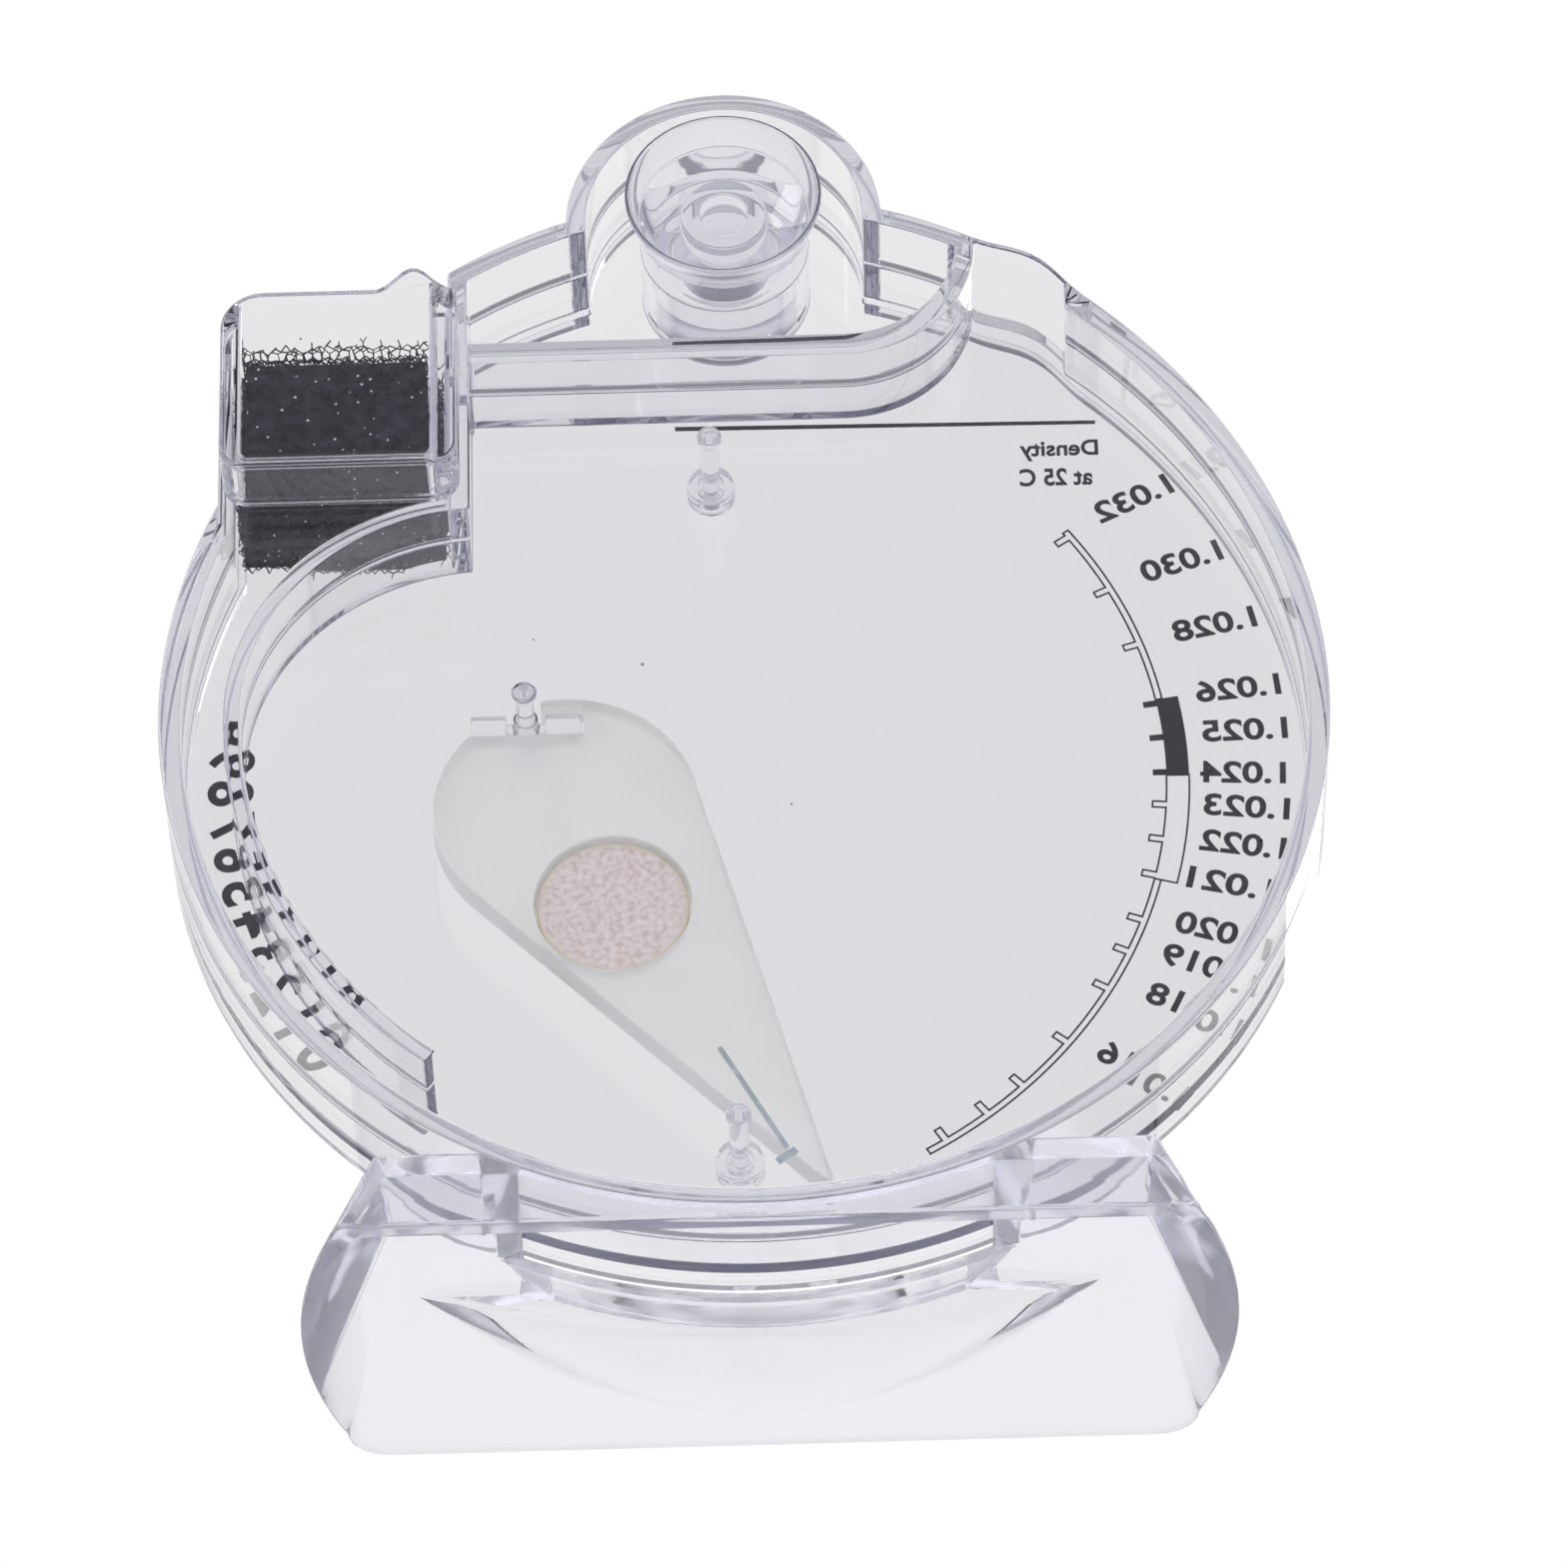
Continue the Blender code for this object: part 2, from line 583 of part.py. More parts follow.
bearing_cross = rod("bearing_cross", PIVOT_X, PIVOT_Z, HUB_RADIUS, HUB_BACK, HUB_FRONT, parts, clear("bearing_cross"))
lugs = bar("cross_lugs", LUG_SPAN, LUG_RADIUS)
middle = LUG_SPAN / 2 - LUG_LENGTH
waist = block("lug_waist", (PIVOT_X - middle, PIVOT_X + middle), (HUB_BACK - GAP, HUB_FRONT + GAP),
              (PIVOT_Z - 2 * LUG_RADIUS, PIVOT_Z + 2 * LUG_RADIUS))
fuse(bearing_cross, cut(lugs, waist), bar("cross_bar", LUG_SPAN - LUG_LENGTH, CROSS_BAR_RADIUS))
cut(bearing_cross, rod("hub_bore", PIVOT_X, PIVOT_Z, AXLE_RADIUS + RUNNING_GAP, HUB_BACK - OVERRUN, HUB_FRONT + OVERRUN))

rod("pivot_axle", PIVOT_X, PIVOT_Z, AXLE_RADIUS, PLATE - AXLE_SINK, DIAL_DEPTH, parts, clear("pivot_axle"))


# Stop pins across the chamber, each standing in a socket on the dial plate

def stop_pin(name, x, z):
    near, far = PLATE + GAP, FLOOR_DEPTH - GAP
    pin = rod(f"{name}_pin", x, z, PIN_RADIUS, near, far, parts, clear(f"{name}_pin"))
    fuse(pin, rod(f"{name}_head", x, z, PIN_HEAD_RADIUS, near, near + PIN_HEAD))
    socket = rod(f"{name}_socket", x, z, SOCKET_PIN_RADIUS, far - SOCKET_PIN_LENGTH, far, parts, clear(f"{name}_socket"))
    cut(socket, rod(f"{name}_bore", x, z, PIN_RADIUS + GAP, far - 2 * SOCKET_PIN_LENGTH, far + OVERRUN))


stop_pin("top_stop", TOP_PIN_X, TOP_PIN_Z)
out = sum(arm_headings())
clear_of_tip = TIP_RADIUS + LOW_PIN_CLEARANCE + PIN_RADIUS
stop_pin("bottom_stop", TIP_X + clear_of_tip * math.cos(out) - LOW_PIN_REACH * math.sin(out),
         TIP_Z + clear_of_tip * math.sin(out) + LOW_PIN_REACH * math.cos(out))


# Suction cup, its plug standing in the socket

def cup_profile():
    """From the axis on the glass side, out over the brim, down the back to the plug."""
    plug_radius = SOCKET_RADIUS - SOCKET_WALL - RUNNING_GAP
    plug_end = -FLOOR_DEPTH + RUNNING_GAP
    return [
        (0.0, -CUP_NUB_HEIGHT), (CUP_DIMPLE_RADIUS, -CUP_NUB_HEIGHT),
        (CUP_DIMPLE_RADIUS, CUP_NUB_HEIGHT), (CUP_NUB_RADIUS, CUP_NUB_HEIGHT),
        (CUP_NUB_RADIUS, -CUP_NUB_DEPTH), (CUP_RING_RADIUS, CUP_RING_HEIGHT),
        (CUP_WALL_RADIUS, CUP_WALL_HEIGHT), (CUP_RADIUS - CUP_LIP, CUP_PROUD), (CUP_RADIUS, CUP_PROUD),
        (CUP_RADIUS, CUP_PROUD - CUP_LIP), (CUP_WALL_RADIUS + CUP_LIP, CUP_RING_HEIGHT),
        (CUP_RING_RADIUS, -CUP_BODY_WALL), (CUP_NECK_RADIUS, -CUP_NECK_DEPTH),
        (CUP_NECK_RADIUS, -CUP_PLUG_DEPTH), (plug_radius, -CUP_PLUG_DEPTH), (plug_radius, plug_end),
        (0.0, plug_end),
    ]


turned("suction_cup", cup_profile(), BOSS_X, BOSS_Z, plastic("suction_cup", (0.83, 0.83, 0.86), 0.12, alpha=0.4))


# Foot: a hollow skirt, scooped out by the round case

def foot_ring(inset, z, share):
    """One level of the skirt: share 0 is the footprint, 1 the flat top beside the case."""
    back_half = FOOT_BACK_HALF + (FOOT_TOP_BACK_HALF - FOOT_BACK_HALF) * share - inset
    front_half = FOOT_FRONT_HALF + (FOOT_TOP_FRONT_HALF - FOOT_FRONT_HALF) * share - inset
    depth = FOOT_DEPTH + (FOOT_TOP_DEPTH - FOOT_DEPTH) * share - inset
    corner = (FOOT_CORNER - inset) * (1 - share)
    side = []
    for i in range(FOOT_STEPS + 1):
        t = i / FOOT_STEPS
        bulge = 4 * FOOT_BULGE * (1 - share) * t * (1 - t)
        side.append((back_half + (front_half - back_half) * t + bulge, inset + (depth - corner - inset) * t))
    for i in range(1, FOOT_STEPS // 2 + 1):
        turn = math.pi * i / FOOT_STEPS
        side.append((front_half - corner * (1 - math.cos(turn)), depth - corner * (1 - math.sin(turn))))
    ring = side + [(-half, near) for half, near in reversed(side)]
    return [(FOOT_MIDDLE_X + x, BACK_Y - near, z) for x, near in ring]


def foot_solid(name, inset, low_z, high_z, low_share, high_share, collection, material=None):
    low = foot_ring(inset, low_z, low_share)
    high = foot_ring(inset, high_z, high_share)
    count = len(low)
    faces = [tuple(range(count)), tuple(range(2 * count - 1, count - 1, -1))]
    faces += [(i, i + count, (i + 1) % count + count, (i + 1) % count) for i in range(count)]
    mesh = bpy.data.meshes.new(name)
    mesh.from_pydata(low + high, [], faces)
    body = bmesh.new()
    body.from_mesh(mesh)
    bmesh.ops.triangulate(body, faces=body.faces)
    bmesh.ops.recalc_face_normals(body, faces=body.faces)
    body.to_mesh(mesh)
    body.free()
    return place(mesh, name, collection, material)


FOOT_INNER_TOP_SHARE = (FOOT_HEIGHT - FOOT_WALL) / FOOT_HEIGHT
FOOT_BELOW_SHARE = -OVERRUN / FOOT_HEIGHT
foot = foot_solid("foot_skirt", 0.0, 0.0, FOOT_HEIGHT, 0.0, 1.0, parts, clear("foot_skirt"))
hollow = foot_solid("foot_hollow", FOOT_WALL, -OVERRUN, FOOT_HEIGHT - FOOT_WALL, FOOT_BELOW_SHARE,
                    FOOT_INNER_TOP_SHARE, tools)
FACETS = 6 * ROUND_SIDES
FOOT_FRONT = FOOT_DEPTH + OVERRUN
COVE_Z = COVE_BOTTOM_Z + COVE_RADIUS
scoop_back = rod("scoop_back", 0.0, 0.0, CASE_RADIUS + SCOOP_WALL, CASE_DEPTH, FOOT_FRONT, sides=FACETS)
cove_back = rod("cove_back", 0.0, COVE_Z, COVE_RADIUS + SCOOP_WALL, COVE_DEPTH - FOOT_WALL, FOOT_FRONT, sides=FACETS)
case_space = rod("case_space", 0.0, 0.0, CASE_RADIUS + GAP, -OVERRUN, CASE_DEPTH + GAP, sides=FACETS)
scoop = rod("scoop", 0.0, 0.0, CASE_RADIUS, CASE_DEPTH, FOOT_FRONT, sides=FACETS)
cove = rod("cove", 0.0, COVE_Z, COVE_RADIUS, COVE_DEPTH, FOOT_FRONT, sides=FACETS)
cut(foot, cut(hollow, scoop_back, cove_back), case_space, scoop, cove)

for item in parts.objects:
    item.data.shade_smooth()
    item.data.set_sharp_from_angle(angle=math.radians(30))
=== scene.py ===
# %% [markdown]
# # Clear swing-arm hydrometer
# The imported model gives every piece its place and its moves. This file gives each one its finish:
# clear moulded plastic, a milky float arm, open-cell foam and the printed scale. Lengths are in
# metres. A depth counts from the back plane of the case towards the dial.

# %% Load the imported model
import math

import bmesh
import bpy
import numpy as np
from mathutils import Matrix, Vector


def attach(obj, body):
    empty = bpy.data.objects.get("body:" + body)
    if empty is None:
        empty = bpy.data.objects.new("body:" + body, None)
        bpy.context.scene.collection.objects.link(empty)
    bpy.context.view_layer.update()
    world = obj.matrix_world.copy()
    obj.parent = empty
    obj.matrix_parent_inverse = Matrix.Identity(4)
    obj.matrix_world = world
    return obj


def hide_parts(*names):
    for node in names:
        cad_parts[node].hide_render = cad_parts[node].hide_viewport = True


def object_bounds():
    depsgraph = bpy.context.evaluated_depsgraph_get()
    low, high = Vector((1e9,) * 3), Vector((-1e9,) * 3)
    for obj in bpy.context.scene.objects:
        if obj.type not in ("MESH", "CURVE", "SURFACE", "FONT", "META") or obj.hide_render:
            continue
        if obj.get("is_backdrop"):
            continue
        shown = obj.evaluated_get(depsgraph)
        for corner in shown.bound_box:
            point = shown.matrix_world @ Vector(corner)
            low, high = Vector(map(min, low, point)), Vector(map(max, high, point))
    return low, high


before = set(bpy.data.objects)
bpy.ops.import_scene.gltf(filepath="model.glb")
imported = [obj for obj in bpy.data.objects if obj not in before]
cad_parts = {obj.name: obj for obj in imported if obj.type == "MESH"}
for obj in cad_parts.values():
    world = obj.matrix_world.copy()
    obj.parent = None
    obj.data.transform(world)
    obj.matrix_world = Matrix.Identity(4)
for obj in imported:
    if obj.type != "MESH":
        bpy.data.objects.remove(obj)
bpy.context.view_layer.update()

# %% [markdown]
# ## Camera
# The object is seen from behind and below, so the printed scale reads backwards. A long lens keeps
# the far side nearly as large as the near side, as in a catalogue picture. The three headings and
# the place were fitted to the round case, the straight foot and the height of the boss.

# %% Camera
SENSOR, LENS, FAR_LIMIT = 36.0, 204.67, 20.0
CAMERA_PLACE = (-0.00425, 0.85200, -0.49990)
camera_data = bpy.data.cameras.new("camera")
camera_data.sensor_width = SENSOR
camera_data.lens = LENS
camera_data.clip_end = FAR_LIMIT
camera = bpy.data.objects.new("camera", camera_data)
bpy.context.scene.collection.objects.link(camera)
bpy.context.scene.camera = camera
right = Vector((-0.99962, -0.01524, -0.02277))
up = Vector((-0.02740, 0.55609, 0.83067))
forward = Vector((0.0, -0.83098, 0.55630))
turn = Matrix((right, up, -forward)).transposed().to_4x4()
camera.matrix_world = Matrix.Translation(CAMERA_PLACE) @ turn
print("camera at", tuple(round(v, 3) for v in camera.location))

# %% [markdown]
# ## Light
# Clear plastic shows what stands round it. The backdrop is white for the camera and pale grey through
# or off the plastic, with a violet tinge at the sides and a darker patch overhead, as in a studio.
# Soft lamps put the long highlights on the edges. They are kept out of the refractions, which would
# clip to white, so matt pieces behind the plastic get their share of that light from the backdrop.

# %% World and lamps
BOUNCES, CLEAR_BOUNCES = 96, 32
OPEN_LIGHT, CLEAR_LIGHT, BEHIND_LIGHT = 0.45, 0.88, 1.7
SIDE_HEADINGS, OVERHEAD, OVERHEAD_EDGE = (0.20, 0.75), (0.0, 0.83, 0.556), (0.86, 0.97)


def linear(colour):
    """An sRGB hex colour as linear red, green and blue."""
    values = [int(colour[i:i + 2], 16) / 255 for i in (1, 3, 5)]
    return tuple(v / 12.92 if v <= 0.04045 else ((v + 0.055) / 1.055) ** 2.4 for v in values)


def add(tree, kind, inputs=None, **settings):
    """Add one node. An input takes a value or the socket that feeds it, and settings are its properties."""
    item = tree.nodes.new(kind)
    for name, value in settings.items():
        setattr(item, name, value)
    for name, value in (inputs or {}).items():
        if isinstance(value, bpy.types.NodeSocket):
            tree.links.new(value, item.inputs[name])
        else:
            item.inputs[name].default_value = value
    return item


bpy.context.scene.view_settings.view_transform = "Standard"
cycles = bpy.context.scene.cycles
cycles.max_bounces = cycles.transmission_bounces = cycles.glossy_bounces = BOUNCES
cycles.transparent_max_bounces = CLEAR_BOUNCES
cycles.blur_glossy = 0
world = bpy.data.worlds.new("studio")
bpy.context.scene.world = world
world.use_nodes = True
tree = world.node_tree
tree.nodes.clear()
path = add(tree, "ShaderNodeLightPath").outputs
seen = add(tree, "ShaderNodeMath", {0: path["Is Glossy Ray"], 1: path["Is Transmission Ray"]},
           operation="MAXIMUM")
level = add(tree, "ShaderNodeMapRange", {"Value": seen.outputs[0], "To Min": OPEN_LIGHT,
                                         "To Max": CLEAR_LIGHT})
level = add(tree, "ShaderNodeMath", {0: level.outputs[0], 1: path["Is Camera Ray"]}, operation="MAXIMUM")
lit = add(tree, "ShaderNodeMath", {0: path["Diffuse Depth"], 1: path["Is Transmission Ray"]},
          operation="MULTIPLY")
lit = add(tree, "ShaderNodeMapRange", {"Value": lit.outputs[0], "To Max": BEHIND_LIGHT})
level = add(tree, "ShaderNodeMath", {0: level.outputs[0], 1: lit.outputs[0]}, operation="MAXIMUM")
heading = add(tree, "ShaderNodeTexCoord").outputs["Generated"]
facing = add(tree, "ShaderNodeVectorMath", {0: heading, 1: tuple(forward)}, operation="DOT_PRODUCT")
facing = add(tree, "ShaderNodeMath", {0: facing.outputs["Value"]}, operation="ABSOLUTE")
backdrop = add(tree, "ShaderNodeMapRange", {"Value": facing.outputs[0], "From Min": SIDE_HEADINGS[0],
                                            "From Max": SIDE_HEADINGS[1]})
backdrop = add(tree, "ShaderNodeMath", {0: backdrop.outputs[0], 1: path["Is Camera Ray"]},
               operation="MAXIMUM")
tone = add(tree, "ShaderNodeMix", {"Factor": backdrop.outputs[0], "A": (*linear("#D2D2E2"), 1),
                                   "B": (1, 1, 1, 1)}, data_type="RGBA")
overhead = add(tree, "ShaderNodeVectorMath", {0: heading, 1: OVERHEAD}, operation="DOT_PRODUCT")
dusk = add(tree, "ShaderNodeMapRange", {"Value": overhead.outputs["Value"],
                                        "From Min": OVERHEAD_EDGE[0], "From Max": OVERHEAD_EDGE[1]})
tone = add(tree, "ShaderNodeMix", {"Factor": dusk.outputs[0], "A": tone.outputs["Result"],
                                   "B": (*linear("#84848E"), 1)}, data_type="RGBA")
sky = add(tree, "ShaderNodeBackground", {"Color": tone.outputs["Result"], "Strength": level.outputs[0]})
add(tree, "ShaderNodeOutputWorld", {"Surface": sky.outputs[0]})


def lamp(name, place, size, power):
    """A soft square lamp at a place, facing the middle of the object."""
    data = bpy.data.lights.new(name, "AREA")
    data.size = size
    data.energy = power
    item = bpy.data.objects.new(name, data)
    bpy.context.scene.collection.objects.link(item)
    item.location = place
    item.visible_transmission = False
    item.rotation_mode = "QUATERNION"
    item.rotation_quaternion = (Vector((0, 0, 0.07)) - Vector(place)).to_track_quat("-Z", "Y")
    print(name, "at", place)


lamp("key_softbox", (0.9, 0.9, 0.9), 0.7, 6.0)
lamp("fill_softbox", (-0.9, 0.7, 0.2), 0.6, 3.0)
lamp("front_softbox", (-0.6, -1.0, 0.9), 0.7, 4.0)

# %% [markdown]
# ## Floor
# A sweep of white paper, half a millimetre under the foot. It shows only from above, so that the
# view from below looks past it at the white backdrop.

# %% Floor
FLOOR_REACH, FLOOR_DROP = 3.0, 0.0005
floor_mesh = bpy.data.meshes.new("floor")
corners = np.array([(-1, -1), (1, -1), (1, 1), (-1, 1)]) * FLOOR_REACH
floor_mesh.from_pydata([(x, y, -FLOOR_DROP) for x, y in corners], [], [(0, 1, 2, 3)])
floor = bpy.data.objects.new("floor", floor_mesh)
bpy.context.scene.collection.objects.link(floor)
floor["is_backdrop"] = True
paper = bpy.data.materials.new("white_paper_sweep")
paper.use_nodes = True
tree = paper.node_tree
tree.nodes.clear()
side = add(tree, "ShaderNodeNewGeometry")
matt = add(tree, "ShaderNodeBsdfDiffuse", {"Color": (*linear("#F7F7F8"), 1)})
see_through = add(tree, "ShaderNodeBsdfTransparent")
one_sided = add(tree, "ShaderNodeMixShader", {0: side.outputs["Backfacing"], 1: matt.outputs[0],
                                              2: see_through.outputs[0]})
add(tree, "ShaderNodeOutputMaterial", {"Surface": one_sided.outputs[0]})
floor_mesh.materials.append(paper)
print("floor", 2 * FLOOR_REACH, "m wide")

# %% [markdown]
# ## What the pieces are made of
# The case is clear polystyrene, the cup is soft clear vinyl and the float arm is milky polypropylene,
# all shaped in steel moulds. The weight is pressed and sintered powder, the filter is burnt-out foam
# and the scale is pad printed. Each look comes from what that work leaves on the surface.

# %% Materials
def material(name):
    """A new material with its node tree and its main shader."""
    item = bpy.data.materials.new(name)
    item.use_nodes = True
    return item, item.node_tree, item.node_tree.nodes["Principled BSDF"]


def specks(tree, base, colour, scale, size, share):
    """A base colour with small round specks: those cells of a Voronoi pattern that pass a share."""
    place = add(tree, "ShaderNodeTexCoord")
    cells = add(tree, "ShaderNodeTexVoronoi", {"Vector": place.outputs["Object"], "Scale": scale})
    near = add(tree, "ShaderNodeMath", {0: cells.outputs["Distance"], 1: size}, operation="LESS_THAN")
    some = add(tree, "ShaderNodeSeparateColor", {0: cells.outputs["Color"]})
    some = add(tree, "ShaderNodeMath", {0: some.outputs[0], 1: share}, operation="GREATER_THAN")
    speck = add(tree, "ShaderNodeMath", {0: near.outputs[0], 1: some.outputs[0]}, operation="MULTIPLY")
    tint = add(tree, "ShaderNodeMix", {"Factor": speck.outputs[0], "A": base, "B": (*linear(colour), 1)},
               data_type="RGBA")
    return tint.outputs["Result"]


def clear_plastic(name, colour, ior, roughness, soak=9.0):
    """A clear moulded plastic, hazy from handling, with dust specks. Its body soaks up blue light least."""
    item, tree, shader = material(name)
    shader.inputs["Transmission Weight"].default_value = 1.0
    shader.inputs["IOR"].default_value = ior
    place = add(tree, "ShaderNodeTexCoord")
    smear = add(tree, "ShaderNodeTexNoise", {"Vector": place.outputs["Object"], "Scale": 90.0, "Detail": 4.0})
    haze = add(tree, "ShaderNodeMapRange", {"Value": smear.outputs[0], "From Min": 0.35, "From Max": 0.75,
                                            "To Min": roughness * 0.5, "To Max": roughness * 1.8})
    tree.links.new(haze.outputs[0], shader.inputs["Roughness"])
    dusty = specks(tree, (*linear(colour), 1), "#4A4A50", 75.0, 0.016, 0.6)
    tree.links.new(dusty, shader.inputs["Base Color"])
    body = add(tree, "ShaderNodeVolumeAbsorption", {"Color": (0.0, 0.0, 0.25, 1), "Density": soak})
    tree.links.new(body.outputs[0], tree.nodes["Material Output"].inputs["Volume"])
    return item


# Clear polystyrene, injection moulded against polished steel: glossy, with haze and dust from handling.
case_plastic = clear_plastic("clear_polystyrene", "#FEFEFF", 1.57, 0.02)
# The foot is the same plastic from a plainer mould, and it has stood on wet shelves, so it is hazier. Its
# tint is a little greyer than the case's: painted shade, for the shade inside the hollow foot.
foot_plastic = clear_plastic("clear_polystyrene_foot", "#F8F8FB", 1.57, 0.05, soak=3.0)
foot_plastic.node_tree.nodes["Principled BSDF"].inputs["Transmission Weight"].default_value = 0.96
# Soft vinyl, moulded clear, so that the cup bends onto glass and takes up dust.
cup_plastic = clear_plastic("clear_soft_vinyl", "#FCFCFE", 1.50, 0.04)


def mottled(tree, shader, colours, scale, roughness, bump=0.0):
    """Let a surface wander between two colours and two roughnesses, with a fine relief."""
    place = add(tree, "ShaderNodeTexCoord")
    cloud = add(tree, "ShaderNodeTexNoise", {"Vector": place.outputs["Object"], "Scale": scale,
                                             "Detail": 4.0})
    part = add(tree, "ShaderNodeMapRange", {"Value": cloud.outputs[0], "From Min": 0.35, "From Max": 0.65})
    tint = add(tree, "ShaderNodeMix", {"Factor": part.outputs[0], "A": (*linear(colours[0]), 1),
                                       "B": (*linear(colours[1]), 1)}, data_type="RGBA")
    gloss = add(tree, "ShaderNodeMapRange", {"Value": cloud.outputs[0], "From Min": 0.3, "From Max": 0.7,
                                             "To Min": roughness[0], "To Max": roughness[1]})
    tree.links.new(tint.outputs["Result"], shader.inputs["Base Color"])
    tree.links.new(gloss.outputs[0], shader.inputs["Roughness"])
    if bump:
        relief = add(tree, "ShaderNodeBump", {"Height": cloud.outputs[0], "Strength": 0.5, "Distance": bump})
        tree.links.new(relief.outputs[0], shader.inputs["Normal"])
    return tint.outputs["Result"]


# Polypropylene without pigment is milky by itself. Its mould was matt, so light spreads at its skin.
arm_plastic, tree, shader = material("milky_polypropylene")
mottled(tree, shader, ("#FBFBF5", "#FFFFFB"), 160.0, (0.34, 0.46))
shader.inputs["Transmission Weight"].default_value = 0.65
shader.inputs["Subsurface Weight"].default_value = 0.3
shader.inputs["Subsurface Radius"].default_value = (0.004, 0.004, 0.004)

# Metal powder pressed and sintered: fused grains with pores between them, and glue round the rim.
WEIGHT_MIDDLE, GLUE_FROM, GLUE_FULL = (0.0153, 0.0, 0.0454), 0.0079, 0.0085
disc_metal, tree, shader = material("sintered_weight")
place = add(tree, "ShaderNodeTexCoord")
grains = add(tree, "ShaderNodeTexNoise", {"Vector": place.outputs["Object"], "Scale": 1400.0, "Detail": 3.0})
speckle = add(tree, "ShaderNodeValToRGB", {"Fac": grains.outputs[0]})
stops = speckle.color_ramp.elements
for stop, (at, colour) in zip((*stops, stops.new(0.5)),
                              ((0.34, "#D8C8BF"), (0.68, "#F6ECE4"), (0.5, "#E9DCD3"))):
    stop.position, stop.color = at, (*linear(colour), 1)
spot = add(tree, "ShaderNodeVectorMath", {0: place.outputs["Object"], 1: WEIGHT_MIDDLE},
           operation="SUBTRACT")
spot = add(tree, "ShaderNodeVectorMath", {0: spot.outputs[0], 1: (1.0, 0.0, 1.0)}, operation="MULTIPLY")
spot = add(tree, "ShaderNodeVectorMath", {0: spot.outputs[0]}, operation="LENGTH")
glue = add(tree, "ShaderNodeMapRange", {"Value": spot.outputs["Value"], "From Min": GLUE_FROM,
                                        "From Max": GLUE_FULL})
tint = add(tree, "ShaderNodeMix", {"Factor": glue.outputs[0], "A": speckle.outputs["Color"],
                                   "B": (*linear("#E6DABF"), 1)}, data_type="RGBA")
tree.links.new(tint.outputs["Result"], shader.inputs["Base Color"])
rough = add(tree, "ShaderNodeBump", {"Height": grains.outputs[0], "Strength": 0.5, "Distance": 0.00005})
tree.links.new(rough.outputs[0], shader.inputs["Normal"])
shader.inputs["Roughness"].default_value = 0.75

# Black urethane foam: struts left rough by burning. Its pale specks are painted highlights: glints on the
# struts and light seen between them.
foam_material, tree, shader = material("reticulated_foam")
charred = mottled(tree, shader, ("#17181B", "#3A3C42"), 700.0, (0.45, 0.75))
# Painted highlights: small pale specks for glints and light between the strands.
painted_glints = specks(tree, charred, "#D8D8DA", 760.0, 0.13, 0.25)
tree.links.new(painted_glints, shader.inputs["Base Color"])

# Pad print ink: pressed on by a soft pad, so it is thin, a little uneven and half matt.
ink, tree, shader = material("black_pad_print")
mottled(tree, shader, ("#27272A", "#37373B"), 900.0, (0.4, 0.6), 0.000004)

# The pointer is the same kind of ink, in grey, on a plastic that inks hold badly, so it is patchy.
pointer_ink, tree, shader = material("grey_pad_print")
mottled(tree, shader, ("#A2ADB0", "#BCC6C8"), 900.0, (0.45, 0.65), 0.000004)

for name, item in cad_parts.items():
    finish = {"swing_arm": arm_plastic, "arm_weight": disc_metal, "filter_foam": foam_material,
              "suction_cup": cup_plastic}.get(name, case_plastic)
    item.data.materials.clear()
    item.data.materials.append(finish)
print("materials:", sorted(item.name for item in bpy.data.materials if item.users))

# %% [markdown]
# ## Outlines of the case
# The case is an outline carried straight through its depth. The outline is a circle below that rises
# into a crown above, worked out in steps of one degree, so that the clear rim has no flats. Each
# point is (x, z) from the middle of the round lower half.

# %% Sizes and outlines
BACK_Y, MIDDLE_Z = 0.02105, 0.0682
PIVOT_X, PIVOT_Z = 0.0249, 0.0022
CASE_RADIUS, CROWN_RISE, CROWN_POWER = 0.0662, 0.0056, 3.4
PLATE, WALL, SEAM, FLOOR, DIAL, DEPTH = 0.0020, 0.0022, 0.0085, 0.0150, 0.0170, 0.0195
SHELF_Z, SHELF_WALL, BEND_X, BEND_RADIUS = 0.0490, 0.0020, -0.0125, 0.0155
SPOUT_X, SPOUT_END_X, SPOUT_LIP = -0.0280, -0.0386, 0.0012
BOSS_X, BOSS_Z, BOSS_RADIUS, RECESS_RADIUS = 0.0010, 0.0681, 0.0185, 0.0163
BOX_X, BOX_WALL, DIVIDER_X, DIVIDER_WALL = 0.0598, 0.0014, 0.0312, 0.0022
MOUTH_Z, MOUTH_CORNER, ABOVE_Z = 0.0529, 0.0050, 0.0866
RING_RADIUS, RING_WALL, RING_END = 0.0580, 0.0015, math.radians(-52)
RING_BEND_RADIUS, RING_BEND_TURN = 0.0287, math.radians(1)
OVER = 0.004  # how far a cutting tool reaches past what it cuts


def arc(x, z, radius, start, end, step=math.radians(1.5)):
    """Points on a circle from one heading to another, both ends included."""
    turn = np.linspace(start, end, max(3, int(abs(end - start) / step) + 2))
    return np.column_stack((x + radius * np.cos(turn), z + radius * np.sin(turn)))


def rim_radius(turn):
    """The case radius, plus a crown that rises with a power of the heading's sine."""
    return CASE_RADIUS + CROWN_RISE * np.maximum(0, np.sin(turn)) ** CROWN_POWER


def rim(start, end, inset=0.0):
    """Points on the rim from one heading to another, moved inwards by an inset."""
    turn = np.linspace(start, end, max(3, int(abs(end - start) / math.radians(1)) + 2))
    radius = rim_radius(turn) - inset
    return np.column_stack((radius * np.cos(turn), radius * np.sin(turn)))


def rim_turn(x, inset=0.0):
    """The heading in the upper half at which the rim has this x."""
    turn = np.linspace(math.pi, 0, 20001)
    return float(np.interp(x, (rim_radius(turn) - inset) * np.cos(turn), turn))


